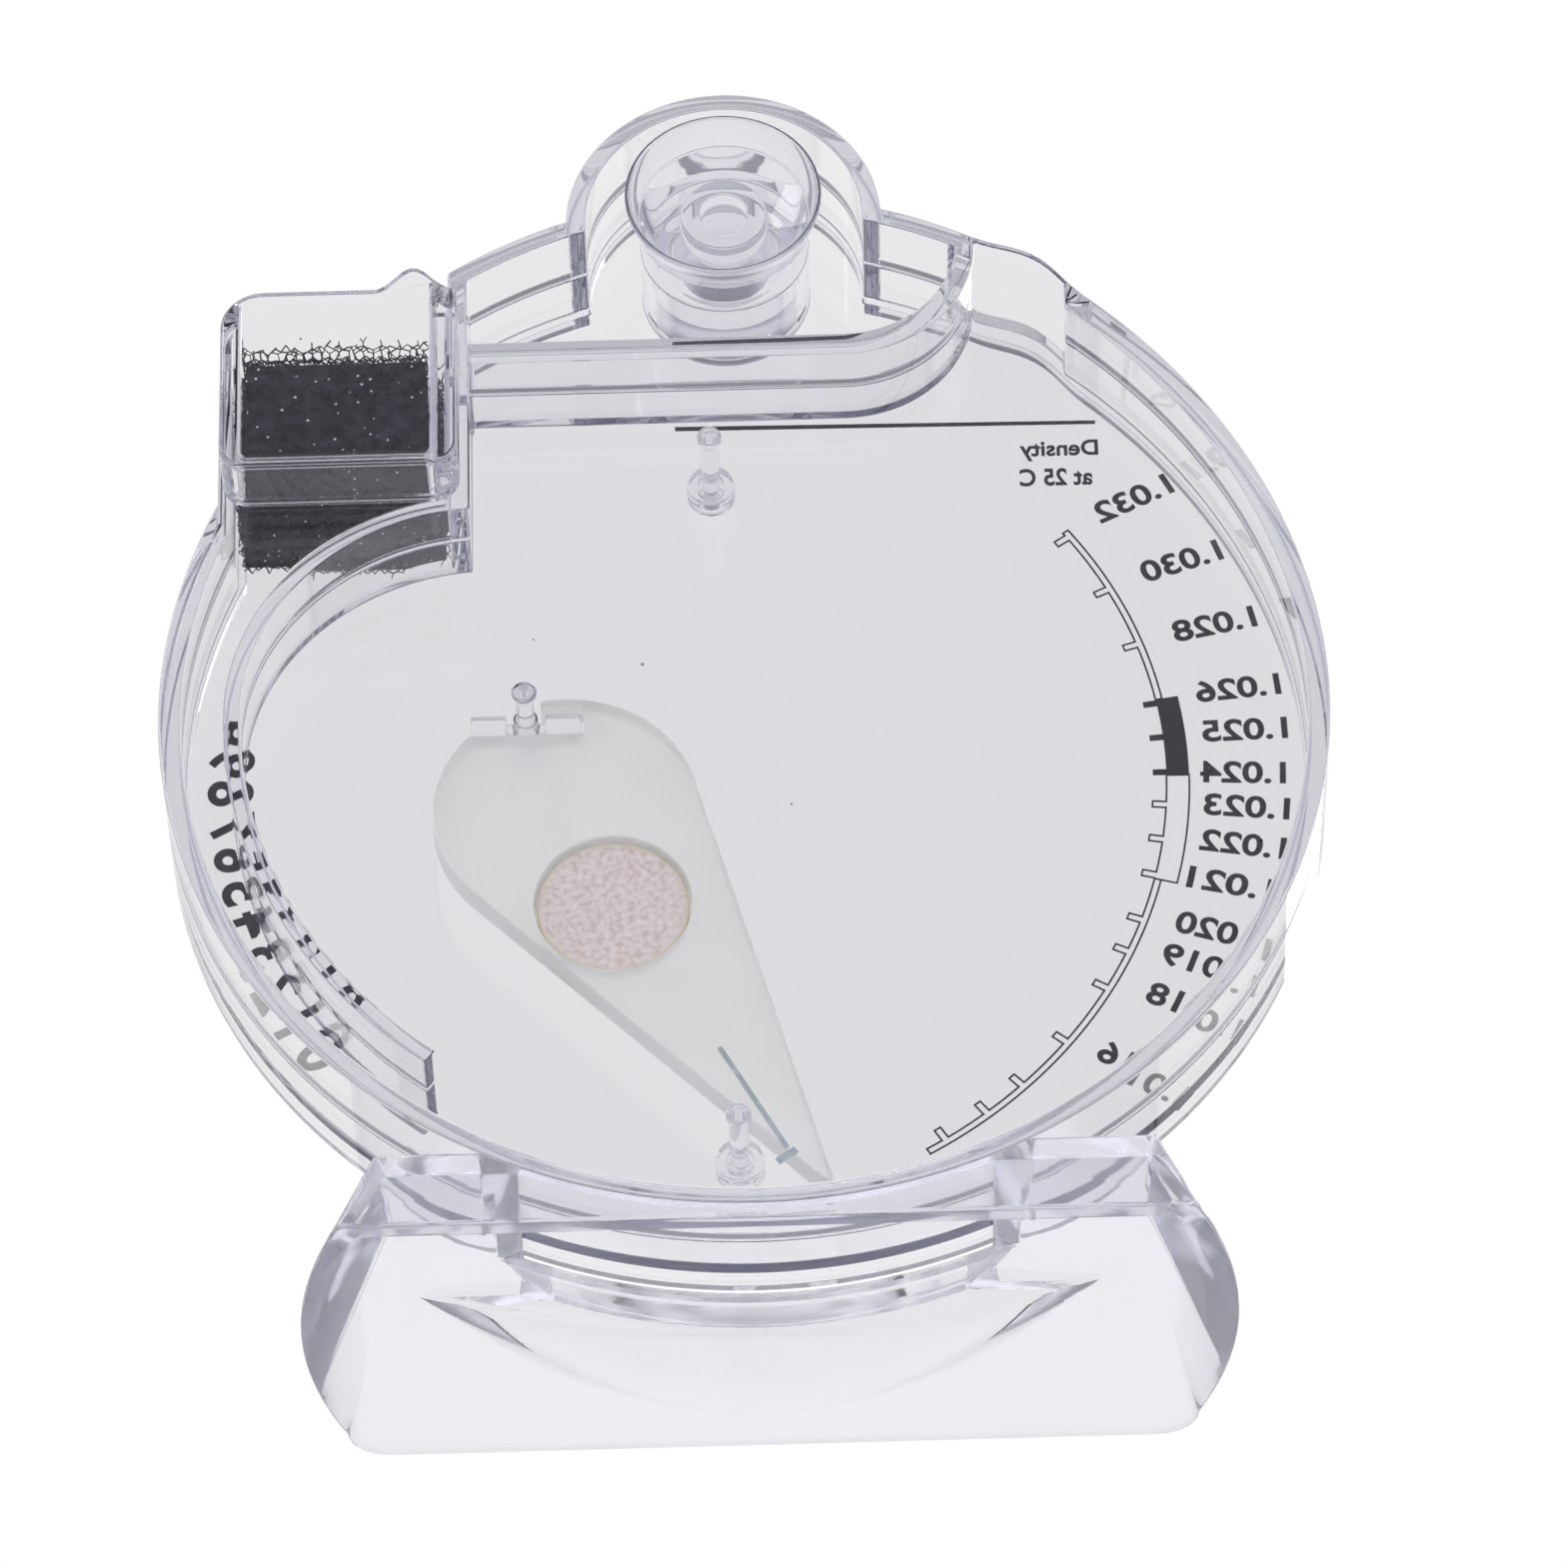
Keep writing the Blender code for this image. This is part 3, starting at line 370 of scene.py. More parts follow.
def boss_turn(low, high, inset):
    """The rim heading between two limits at which the boss circle leaves the rim."""
    turn = np.linspace(low, high, 20001)
    radius = rim_radius(turn) - inset
    away = np.hypot(radius * np.cos(turn) - BOSS_X, radius * np.sin(turn) - BOSS_Z) - BOSS_RADIUS + inset
    return float(turn[np.argmin(np.abs(away))])


def case_outline(inset=0.0):
    """The whole case, or the recess in its dial side that lies inside the edge by an inset."""
    start = boss_turn(math.radians(60), math.radians(89), inset)
    end = boss_turn(math.radians(95), math.radians(120), inset)
    boss = [math.atan2(*(rim(t, t, inset)[0][::-1] - (BOSS_Z, BOSS_X))) for t in (start, end)]
    lip = rim(rim_turn(SPOUT_X, inset), rim_turn(SPOUT_END_X - WALL, inset), inset)
    lip *= 1 + SPOUT_LIP / CASE_RADIUS * np.sin(np.linspace(0, math.pi, len(lip)))[:, None] ** 2
    divider = DIVIDER_X + DIVIDER_WALL - inset
    return np.vstack((
        rim(-math.pi / 2, rim_turn(BOX_X - inset, inset), inset),
        arc(BOX_X - MOUTH_CORNER, MOUTH_Z - MOUTH_CORNER, MOUTH_CORNER - inset, 0, math.pi / 2),
        [(divider, MOUTH_Z - inset)],
        rim(rim_turn(divider, inset), start, inset),
        arc(BOSS_X, BOSS_Z, BOSS_RADIUS - inset, boss[0], boss[1] % (2 * math.pi))[1:-1],
        rim(end, rim_turn(SPOUT_X, inset), inset)[:-1], lip,
        rim(rim_turn(SPOUT_END_X - WALL, inset), 1.5 * math.pi, inset)[1:-1]))


def wet_outline():
    """Everything that the water reaches: chamber, spout, channel and inlet box."""
    outer, inner = RING_BEND_RADIUS + RING_WALL / 2, RING_BEND_RADIUS - RING_WALL / 2
    reach = RING_RADIUS - RING_BEND_RADIUS
    x, z = reach * math.cos(RING_BEND_TURN), reach * math.sin(RING_BEND_TURN)
    box_x = DIVIDER_X + DIVIDER_WALL
    return np.vstack((
        [(DIVIDER_X, SHELF_Z)],
        arc(BEND_X, SHELF_Z + BEND_RADIUS, BEND_RADIUS, 1.5 * math.pi, math.pi),
        [(SPOUT_X, ABOVE_Z), (SPOUT_END_X, ABOVE_Z)],
        rim(rim_turn(SPOUT_END_X, WALL), 2 * math.pi + rim_turn(BOX_X - BOX_WALL, WALL), WALL),
        [(BOX_X - BOX_WALL, ABOVE_Z), (box_x, ABOVE_Z)],
        arc(x, z, outer, math.acos((box_x - x) / outer), RING_BEND_TURN),
        arc(0, 0, RING_RADIUS + RING_WALL / 2, RING_BEND_TURN, RING_END)[1:],
        arc(0, 0, RING_RADIUS - RING_WALL / 2, RING_END, RING_BEND_TURN),
        arc(x, z, inner, RING_BEND_TURN, math.acos((DIVIDER_X - x) / inner))[1:]))


def dry_outline():
    """The open pocket above the shelf, with the recess of the boss."""
    radius, z = BEND_RADIUS - SHELF_WALL, SHELF_Z + BEND_RADIUS
    bend = arc(BEND_X, z, radius, 1.5 * math.pi, math.pi)
    inside = np.hypot(*bend.T) < rim_radius(np.arctan2(bend[:, 1], bend[:, 0])) - WALL
    bend = bend[inside]
    right, left = BOSS_X + RECESS_RADIUS, BOSS_X - RECESS_RADIUS
    return np.vstack((
        [(DIVIDER_X, SHELF_Z + SHELF_WALL)],
        rim(rim_turn(DIVIDER_X, WALL), rim_turn(right, WALL), WALL),
        arc(BOSS_X, BOSS_Z, RECESS_RADIUS, 0, math.pi),
        rim(rim_turn(left, WALL), rim_turn(bend[-1][0] + 0.0002, WALL), WALL),
        bend[::-1]))


print("outline points:", len(case_outline()), len(wet_outline()), len(dry_outline()))

# %% [markdown]
# ## From outlines to moulded shells
# A flat curve fills each outline and gives it depth. Booleans hollow it, and a narrow bevel rounds
# every edge, because a moulded edge that is truly sharp would catch no light.

# %% Solids from outlines
SHARP = math.radians(35)


def mesh_object(name, mesh):
    """A mesh or curve as an object at the origin, in the scene."""
    item = bpy.data.objects.new(name, mesh)
    bpy.context.scene.collection.objects.link(item)
    return item


def slab(name, loops, depth_from, depth_to):
    """The area between flat outlines, made solid between two depths from the back plane."""
    curve = bpy.data.curves.new(name, "CURVE")
    curve.dimensions = "2D"
    curve.fill_mode = "BOTH"
    curve.extrude = (depth_to - depth_from) / 2
    for loop in loops:
        spline = curve.splines.new("POLY")
        spline.points.add(len(loop) - 1)
        flat_loop = np.column_stack((loop, np.zeros(len(loop)), np.ones(len(loop))))
        spline.points.foreach_set("co", flat_loop.ravel())
        spline.use_cyclic_u = True
    flat = mesh_object(name, curve)
    bpy.context.view_layer.update()
    mesh = bpy.data.meshes.new_from_object(flat.evaluated_get(bpy.context.evaluated_depsgraph_get()))
    bpy.data.objects.remove(flat)
    middle = BACK_Y - (depth_from + depth_to) / 2
    mesh.transform(Matrix.Translation((0, middle, MIDDLE_Z)) @ Matrix.Rotation(math.pi / 2, 4, "X"))
    weld(mesh)
    return mesh_object(name, mesh)


def weld(mesh, short=None):
    """Join doubled points and turn faces outwards; a short length drops edges below it and merges flats."""
    body = bmesh.new()
    body.from_mesh(mesh)
    bmesh.ops.remove_doubles(body, verts=body.verts, dist=short or 1e-6)
    if short:
        bmesh.ops.dissolve_limit(body, angle_limit=math.radians(0.05), verts=body.verts, edges=body.edges)
        bmesh.ops.holes_fill(body, edges=[edge for edge in body.edges if edge.is_boundary], sides=8)
    bmesh.ops.recalc_face_normals(body, faces=body.faces)
    body.to_mesh(mesh)
    body.free()


def disc(x, z, radius, depth_from, depth_to, sides=96):
    """A round plate or plug, centred on (x, z)."""
    turn = np.linspace(0, 2 * math.pi, sides, endpoint=False)
    loop = np.column_stack((x + radius * np.cos(turn), z + radius * np.sin(turn)))
    return slab("disc", [loop], depth_from, depth_to)


def bar(x, depth, z):
    """A block from (low, high) spans."""
    loop = np.array([(x[0], z[0]), (x[1], z[0]), (x[1], z[1]), (x[0], z[1])])
    return slab("block", [loop], *depth)


def carve(item, tools, operation="DIFFERENCE"):
    """Cut tools from a solid, or join them to it, and remove the tools."""
    for tool in tools:
        step = item.modifiers.new(tool.name, "BOOLEAN")
        step.operation = operation
        step.solver = "EXACT"
        step.object = tool
    apply(item)
    for tool in tools:
        bpy.data.objects.remove(tool)
    return item


def apply(item):
    """Put the result of the modifiers into the mesh, and take them off."""
    bpy.context.view_layer.update()
    mesh = bpy.data.meshes.new_from_object(item.evaluated_get(bpy.context.evaluated_depsgraph_get()))
    item.modifiers.clear()
    item.data = mesh


def rounded(item, width, segments):
    """Round every edge sharper than 35 degrees."""
    step = item.modifiers.new("edges", "BEVEL")
    step.width = width
    step.segments = segments
    step.limit_method = "ANGLE"
    step.angle_limit = SHARP
    step.use_clamp_overlap = False
    step.harden_normals = True
    step.loop_slide = False
    return item


def moulded(item, name, body, node, finish, edge=0.0003, segments=2):
    """Round the edges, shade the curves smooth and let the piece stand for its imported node."""
    item.name = name
    weld(item.data, 1e-5)
    item.data.materials.clear()
    item.data.materials.append(finish)
    item.data.shade_smooth()
    if edge:
        rounded(item, edge, segments)
    else:
        item.data.set_sharp_from_angle(angle=SHARP)
        even = item.modifiers.new("normals", "WEIGHTED_NORMAL")
        even.weight, even.keep_sharp = 100, True
    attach(item, body)
    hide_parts(node)
    print(name, len(item.data.vertices), "points")
    return item


# %% [markdown]
# ## Back and front covers
# The chamber is two mouldings that meet at a seam and are welded there. The back cover carries the
# window to the inlet, and the front cover the dial, sunk behind a lip so that the print isn't
# scraped, and the socket of the suction cup. Both take the axle in blind holes.

# %% Back cover
SEAM_GAP = 0.00015
WINDOW_X, WINDOW_Z = (0.0348, 0.0572), 0.0310
AXLE_HOLE, AXLE_SEAT = 0.0013, 0.0009


def case_half(depth_from, depth_to, wet, dry):
    """One moulding of the case, hollowed over a span of depths where it is wet and where it is dry."""
    half = slab("half", [case_outline()], depth_from, depth_to)
    return carve(half, [slab("wet", [wet_outline()], *wet), slab("dry", [dry_outline()], *dry)])


back = case_half(0, SEAM - SEAM_GAP, (PLATE, SEAM + OVER), (-OVER, SEAM + OVER))
carve(back, [bar(WINDOW_X, (-OVER, PLATE + OVER), (WINDOW_Z, ABOVE_Z)),
             disc(PIVOT_X, PIVOT_Z, AXLE_HOLE, AXLE_SEAT, PLATE + OVER, 48)])
moulded(back, "back_shell", "case", "back_cover", case_plastic)

# %% Front cover
SOCKET_OUTER, SOCKET_INNER, SOCKET_NEAR = 0.0099, 0.0084, 0.0048
front = case_half(SEAM + SEAM_GAP, DEPTH, (SEAM - OVER, FLOOR), (SEAM - OVER, FLOOR))
carve(front, [slab("dial", [case_outline(WALL)], DIAL, DEPTH + OVER)])
carve(front, [disc(BOSS_X, BOSS_Z, SOCKET_OUTER, SOCKET_NEAR, FLOOR + PLATE / 2)], "UNION")
carve(front, [disc(BOSS_X, BOSS_Z, SOCKET_INNER, -OVER, FLOOR),
              disc(PIVOT_X, PIVOT_Z, AXLE_HOLE, FLOOR - OVER, DIAL + OVER, 48)])
moulded(front, "front_shell", "case", "front_cover", case_plastic)

# %% [markdown]
# ## Inlet housing
# The housing is a small tray glued over the window in the back plate, with the glue as a thin gap.
# It holds the near half of the foam and is open above, and its low ear guides the water in.

# %% Inlet housing
TRAY_X, TRAY_Z, TRAY_CORNER, TRAY_FACE, GLUE_LINE = (0.0320, 0.0592), 0.0280, 0.0030, -0.0085, -0.0003
EAR_X, EAR_HALF, EAR_RISE = 0.0370, 0.0046, 0.0015
POCKET_Z, POCKET_CORNER, POCKET_FACE = 0.0300, 0.0010, -0.0065


def housing_outline():
    """The tray from behind, with an ear on its rim: z = rise (1 + cos pi t)."""
    ear = np.linspace(-1, 1, 41)
    return np.vstack((
        arc(TRAY_X[1] - TRAY_CORNER, TRAY_Z + TRAY_CORNER, TRAY_CORNER, -math.pi / 2, 0, 0.15),
        arc(TRAY_X[1] - MOUTH_CORNER, MOUTH_Z - MOUTH_CORNER, MOUTH_CORNER, 0, math.pi / 2, 0.1),
        np.column_stack((EAR_X - EAR_HALF * ear, MOUTH_Z + EAR_RISE * (1 + np.cos(math.pi * ear)))),
        [(TRAY_X[0], MOUTH_Z)],
        arc(TRAY_X[0] + TRAY_CORNER, TRAY_Z + TRAY_CORNER, TRAY_CORNER, math.pi, 1.5 * math.pi, 0.15)))


def housing_pocket():
    """The hollow of the tray, open above."""
    (left, right), z = WINDOW_X, POCKET_Z + POCKET_CORNER
    return np.vstack((arc(right - POCKET_CORNER, z, POCKET_CORNER, -math.pi / 2, 0, 0.3),
                      [(right, ABOVE_Z), (left, ABOVE_Z)],
                      arc(left + POCKET_CORNER, z, POCKET_CORNER, math.pi, 1.5 * math.pi, 0.3)))


housing = slab("housing", [housing_outline()], TRAY_FACE, GLUE_LINE)
carve(housing, [slab("pocket", [housing_pocket()], POCKET_FACE, OVER)])
moulded(housing, "inlet_tray", "case", "filter_housing", case_plastic, 0.0005, 3)

# %% [markdown]
# ## Foot
# The foot is a skirt drawn from its footprint up to a narrow top and hollow below, as an open
# moulding is. The round case and a shallow cove are scooped out of it.

# %% Foot
FOOT_HEIGHT, FOOT_DEPTH, FOOT_WALL, FOOT_X = 0.0092, 0.0506, 0.0022, -0.0011
FOOT_NEAR, FOOT_FAR, FOOT_TOP_DEPTH = (0.0470, 0.0428), (0.0483, 0.0413), 0.0170
FOOT_BULGE, FOOT_CORNER, FOOT_EDGE, CASE_GAP = 0.0046, 0.0050, 0.0005, 0.0003
COVE_RADIUS, COVE_LOW, COVE_DEPTH, COVE_WALL = 0.1220, -0.0666, 0.0280, 0.0014


def foot_ring(inset, z, share):
    """One level of the skirt, from its footprint at share 0 to its top at share 1.

    Half its width runs from the back to the front as a straight line plus a bulge 4 b t (1 - t)."""
    back = FOOT_NEAR[0] + (FOOT_NEAR[1] - FOOT_NEAR[0]) * share - inset
    front = FOOT_FAR[0] + (FOOT_FAR[1] - FOOT_FAR[0]) * share - inset
    depth = FOOT_DEPTH + (FOOT_TOP_DEPTH - FOOT_DEPTH) * share - inset
    corner = (FOOT_CORNER - inset) * (1 - share)
    t = np.linspace(0, 1, 41)
    turn = np.linspace(0, math.pi / 2, 13)[1:]
    half = np.concatenate((back + (front - back) * t + 4 * FOOT_BULGE * (1 - share) * t * (1 - t),
                           front - corner * (1 - np.cos(turn))))
    near = np.concatenate((inset + (depth - corner - inset) * t, depth - corner * (1 - np.sin(turn))))
    x, y = np.concatenate((half, -half[::-1])), np.concatenate((near, near[::-1]))
    return np.column_stack((FOOT_X + x, BACK_Y - y, np.full(len(x), z)))


def foot_solid(name, inset, z, share):
    """A loft between two levels of the skirt, closed above and below."""
    rings = np.vstack([foot_ring(inset, z[i], share[i]) for i in (0, 1)])
    count = len(rings) // 2
    i = np.arange(count)
    j = (i + 1) % count
    faces = np.column_stack((i, i + count, j + count, j)).tolist() + [i.tolist(), (i[::-1] + count).tolist()]
    mesh = bpy.data.meshes.new(name)
    mesh.from_pydata(rings, [], faces)
    weld(mesh)
    return mesh_object(name, mesh)


foot = rounded(foot_solid("foot", 0, (0, FOOT_HEIGHT), (0, 1)), FOOT_EDGE, 3)
apply(foot)
hollow = foot_solid("hollow", FOOT_WALL, (-OVER, FOOT_HEIGHT - FOOT_WALL),
                    (-OVER / FOOT_HEIGHT, 1 - FOOT_WALL / FOOT_HEIGHT))
past_foot, cove_z = FOOT_DEPTH + OVER, COVE_LOW + COVE_RADIUS
carve(hollow, [disc(0, 0, CASE_RADIUS + COVE_WALL, DEPTH, past_foot, 720),
               disc(0, cove_z, COVE_RADIUS + COVE_WALL, COVE_DEPTH - FOOT_WALL, past_foot, 1440)])
carve(foot, [hollow, disc(0, 0, CASE_RADIUS + CASE_GAP, -OVER, DEPTH + CASE_GAP, 720),
             disc(0, 0, CASE_RADIUS, DEPTH, past_foot, 720),
             disc(0, cove_z, COVE_RADIUS, COVE_DEPTH, past_foot, 1440)])
moulded(foot, "foot_shell", "case", "foot_skirt", foot_plastic, None)

# %% [markdown]
# ## Swing arm
# The arm is a milky plate that floats in salt water. A sintered disc near its middle sets its weight,
# and a clear cross with round lugs carries it on the axle. The outline is two circles, one large
# and one small, joined by their tangents, so the arm points at the scale and swings clear.

# %% Swing arm
ARM_NEAR, ARM_FAR, HEAD_RADIUS, TIP_RADIUS = 0.0073, 0.0111, 0.0151, 0.0006
WEIGHT_X, WEIGHT_Z, WEIGHT_POCKET, POCKET_DEPTH = 0.0153, -0.0228, 0.0089, 0.0102
NOTCH_LEFT, NOTCH_RIGHT, NOTCH_HALF, NOTCH_REACH = 0.0017, 0.0014, 0.0019, 0.00655
head, tip = np.array((0.0204, -0.0101)), np.array((-0.0079, -0.0592))
along = math.atan2(*(tip - head)[::-1])
side = math.acos((HEAD_RADIUS - TIP_RADIUS) / math.dist(head, tip))
arm_outline = np.vstack((arc(*head, HEAD_RADIUS, along + side, along - side + 2 * math.pi, 0.04),
                         arc(*tip, TIP_RADIUS, along - side, along + side, 0.3)))
arm = slab("arm", [arm_outline], ARM_NEAR, ARM_FAR)
through = (ARM_NEAR - OVER, ARM_FAR + OVER)
carve(arm, [disc(WEIGHT_X, WEIGHT_Z, WEIGHT_POCKET, ARM_NEAR - OVER, POCKET_DEPTH),
            bar((PIVOT_X - NOTCH_LEFT, PIVOT_X + NOTCH_REACH), through, (PIVOT_Z - NOTCH_HALF, ABOVE_Z)),
            bar((PIVOT_X - NOTCH_REACH, PIVOT_X + NOTCH_RIGHT), through,
                (PIVOT_Z - NOTCH_HALF, PIVOT_Z + NOTCH_HALF))])
moulded(arm, "float_arm", "arm", "swing_arm", arm_plastic, 0.00025, 3)

# %% [markdown]
# ## Weight and cross
# Both are round pieces, so each is a profile turned about its axis. The weight is pressed from
# powder and glued into a pocket of the arm. The cross is a hub with two lugs on thin links.

# %% Weight and cross
WEIGHT_RADIUS, WEIGHT_NEAR, WEIGHT_FAR = 0.0086, 0.0083, 0.0099
HUB_HOLE, HUB_RADIUS, HUB_NEAR, HUB_FAR = 0.0011, 0.0014, 0.0070, 0.0114
LUG_RADIUS, LUG_FROM, LUG_TO = 0.0016, 0.00225, 0.00625
LINK_RADIUS, LINK_FROM, LINK_TO = 0.0006, 0.0012, 0.0040
SIDES = 48


def turned(name, profile, x, z, steps=96):
    """A profile of (radius, depth) turned about an axis along Y: x = radius cos t, z = radius sin t."""
    profile = np.array(profile)
    turn = np.linspace(0, 2 * math.pi, steps, endpoint=False)
    radius, depth = profile[:, 0][:, None], profile[:, 1][:, None]
    points = np.stack((x + radius * np.cos(turn), BACK_Y - depth + 0 * turn,
                       MIDDLE_Z + z + radius * np.sin(turn)), axis=2)
    i, j = np.meshgrid(np.arange(len(profile) - 1), np.arange(steps), indexing="ij")
    k = (j + 1) % steps
    faces = np.stack((i * steps + j, i * steps + k, (i + 1) * steps + k, (i + 1) * steps + j), axis=2)
    mesh = bpy.data.meshes.new(name)
    mesh.from_pydata(points.reshape(-1, 3), [], faces.reshape(-1, 4).tolist())
    weld(mesh)
    return mesh_object(name, mesh)


weight = turned("weight", [(0, WEIGHT_NEAR), (WEIGHT_RADIUS, WEIGHT_NEAR), (WEIGHT_RADIUS, WEIGHT_FAR),
                           (0, WEIGHT_FAR)], WEIGHT_X, WEIGHT_Z)
moulded(weight, "weight_disc", "arm", "arm_weight", disc_metal, 0.0003, 3)

cross = turned("hub", [(HUB_HOLE, HUB_NEAR), (HUB_RADIUS, HUB_NEAR), (HUB_RADIUS, HUB_FAR),
                       (HUB_HOLE, HUB_FAR), (HUB_HOLE, HUB_NEAR)], PIVOT_X, PIVOT_Z, SIDES)


def lug_solid(radius, start, end):
    """A round bar along X at the pivot's height, between two distances from the pivot."""
    turn = np.linspace(0, 2 * math.pi, SIDES, endpoint=False)
    ring = np.column_stack((0 * turn, BACK_Y - (ARM_NEAR + ARM_FAR) / 2 + radius * np.cos(turn),
                            MIDDLE_Z + PIVOT_Z + radius * np.sin(turn)))
    points = np.vstack((ring + (PIVOT_X + start, 0, 0), ring + (PIVOT_X + end, 0, 0)))
    i = np.arange(SIDES)
    j = (i + 1) % SIDES
    faces = np.column_stack((i, j, j + SIDES, i + SIDES)).tolist()
    faces += [i[::-1].tolist(), (i + SIDES).tolist()]
    mesh = bpy.data.meshes.new("lug")
    mesh.from_pydata(points, [], faces)
    weld(mesh)
    return mesh_object("lug", mesh)


carve(cross, [lug_solid(LUG_RADIUS, LUG_FROM, LUG_TO), lug_solid(LUG_RADIUS, -LUG_TO, -LUG_FROM),
              lug_solid(LINK_RADIUS, LINK_FROM, LINK_TO), lug_solid(LINK_RADIUS, -LINK_TO, -LINK_FROM)],
      "UNION")
moulded(cross, "cross_bearing", "arm", "bearing_cross", case_plastic, 0.0002, 2)

# %% [markdown]
# ## Axle, stop pins and suction cup
# Each is a turned profile of radii and depths. The pins cross the chamber and stand in short sockets
# on the dial plate, where they stop the arm. The cup and its plug are one soft moulding.

# %% Axle and stop pins
AXLE_RADIUS, AXLE_NEAR = 0.0010, 0.0012
PIN_RADIUS, PIN_HEAD, PIN_NEAR, HEAD_EDGE, NECK, PIN_FAR = 0.0011, 0.0014, 0.0023, 0.0033, 0.0036, 0.0147
STOP_SOCKET_RADIUS, STOP_SOCKET_NEAR = 0.0028, 0.0120
TOP_PIN, BOTTOM_PIN = (0.0033, 0.0378), (0.00174, -0.05410)
axle = turned("axle", [(0, AXLE_NEAR), (AXLE_RADIUS, AXLE_NEAR), (AXLE_RADIUS, DIAL), (0, DIAL)],
              PIVOT_X, PIVOT_Z, SIDES)
moulded(axle, "axle_pin", "case", "pivot_axle", case_plastic, 0.0002)
pin_profile = [(0, PIN_NEAR), (PIN_HEAD, PIN_NEAR), (PIN_HEAD, HEAD_EDGE), (PIN_RADIUS, NECK),
               (PIN_RADIUS, PIN_FAR), (0, PIN_FAR)]
socket_profile = [(PIN_HEAD, STOP_SOCKET_NEAR), (STOP_SOCKET_RADIUS, STOP_SOCKET_NEAR),
                  (STOP_SOCKET_RADIUS, PIN_FAR), (PIN_HEAD, PIN_FAR), (PIN_HEAD, STOP_SOCKET_NEAR)]
for label, place in (("top", TOP_PIN), ("bottom", BOTTOM_PIN)):
    pin = turned("pin", pin_profile, *place, SIDES)
    moulded(pin, f"{label}_pin", "case", f"{label}_stop_pin", case_plastic, 0.0002)
    socket = turned("socket", socket_profile, *place, 64)
    moulded(socket, f"{label}_socket", "case", f"{label}_stop_socket", case_plastic, 0.0003)

# %% Suction cup
# From the middle of the cup outwards over its lip, back to the waist and round the plug.
CUP_PROFILE = [(0, 0.0010), (0.0028, 0.0010), (0.0028, -0.0010), (0.0050, -0.0010), (0.0050, 0.0006),
               (0.0084, -0.0003), (0.0099, -0.0010), (0.0110, -0.0050), (0.0115, -0.0050),
               (0.0115, -0.0045), (0.0104, -0.0003), (0.0084, 0.0014), (0.0053, 0.0040),
               (0.0053, 0.0095), (0.0083, 0.0095), (0.0083, 0.0149), (0, 0.0149)]
cup = turned("cup", CUP_PROFILE, BOSS_X, BOSS_Z, 128)
moulded(cup, "soft_cup", "cup", "suction_cup", cup_plastic, 0.00025, 3)

# %% [markdown]
# ## Filter foam
# Reticulated foam is blown from urethane, and then the skins between its cells are burnt away, so
# that only the struts stay. The cells pack like soap bubbles, as fourteen-sided Kelvin cells. Struts
# are drawn near the surface, and a dark block stands for the tangle that lies deeper.

# %% Filter foam
FOAM_GAP, FOAM_TOP, FOAM_BOTTOM, FOAM_OVERLAP, FOAM_SKIN = 0.0003, 0.0460, 0.0280, 0.0017, 0.0006
FOAM_CELL, STRUT, STRUT_SPREAD, STRUT_DEPTH = 0.0020, 0.000085, (0.75, 1.35), 0.0015
TORN, TORN_FROM, OPEN_TOP, OPEN_OVER, UNEVEN = 0.0014, 0.0005, 0.0035, 0.0018, 0.075
ring_x = (RING_RADIUS - RING_BEND_RADIUS) * math.cos(RING_BEND_TURN)
ring_z = (RING_RADIUS - RING_BEND_RADIUS) * math.sin(RING_BEND_TURN)
ring_room = RING_BEND_RADIUS + RING_WALL / 2 + FOAM_GAP
front_room = ((DIVIDER_X + DIVIDER_WALL + FOAM_GAP, BOX_X - BOX_WALL - FOAM_GAP),
              (PLATE + FOAM_GAP, FLOOR - FOAM_GAP), (FOAM_BOTTOM, FOAM_TOP))
back_room = ((WINDOW_X[0] + FOAM_GAP, WINDOW_X[1] - FOAM_GAP), (POCKET_FACE + FOAM_GAP, PLATE + FOAM_OVERLAP),
             (WINDOW_Z + FOAM_GAP, FOAM_TOP))


def foam_reach(points):
    """How far points (x, depth, z) lie inside the foam, from a side of its rooms or from the ring."""
    low, high = np.moveaxis(np.array((front_room, back_room)), 2, 0)[:, :, None]
    rooms = np.minimum(points - low, high - points).min(axis=2)
    return np.minimum(np.maximum(*rooms), np.hypot(points[:, 0] - ring_x, points[:, 2] - ring_z) - ring_room)


def kelvin_struts(low, high, cell, rng):
    """The corners and struts of packed Kelvin cells between two points.

    In quarters of a cell, a corner's three coordinates leave 0, an odd number and 2 when divided by
    four, in any order, and struts join corners that differ by one in two coordinates."""
    counts = np.ceil((np.array(high) - low) / cell * 4).astype(int)
    grid = np.stack(np.meshgrid(*[np.arange(n) for n in counts], indexing="ij"), axis=-1)
    rest = np.sort(np.where(grid % 4 == 3, 1, grid % 4), axis=-1)
    corner = (rest == (0, 1, 2)).all(axis=-1)
    number = np.where(corner, np.cumsum(corner).reshape(corner.shape) - 1, -1)
    pairs = []
    for step in ((1, 1, 0), (1, -1, 0), (1, 0, 1), (1, 0, -1), (0, 1, 1), (0, 1, -1)):
        here = tuple(slice(max(0, -s), n - max(0, s)) for s, n in zip(step, counts))
        there = tuple(slice(max(0, s), n - max(0, -s)) for s, n in zip(step, counts))
        both = corner[here] & corner[there]
        pairs.append(np.column_stack((number[here][both], number[there][both])))
    points = low + grid[corner] * (cell / 4)
    return points + rng.normal(0, cell * UNEVEN, points.shape), np.vstack(pairs)


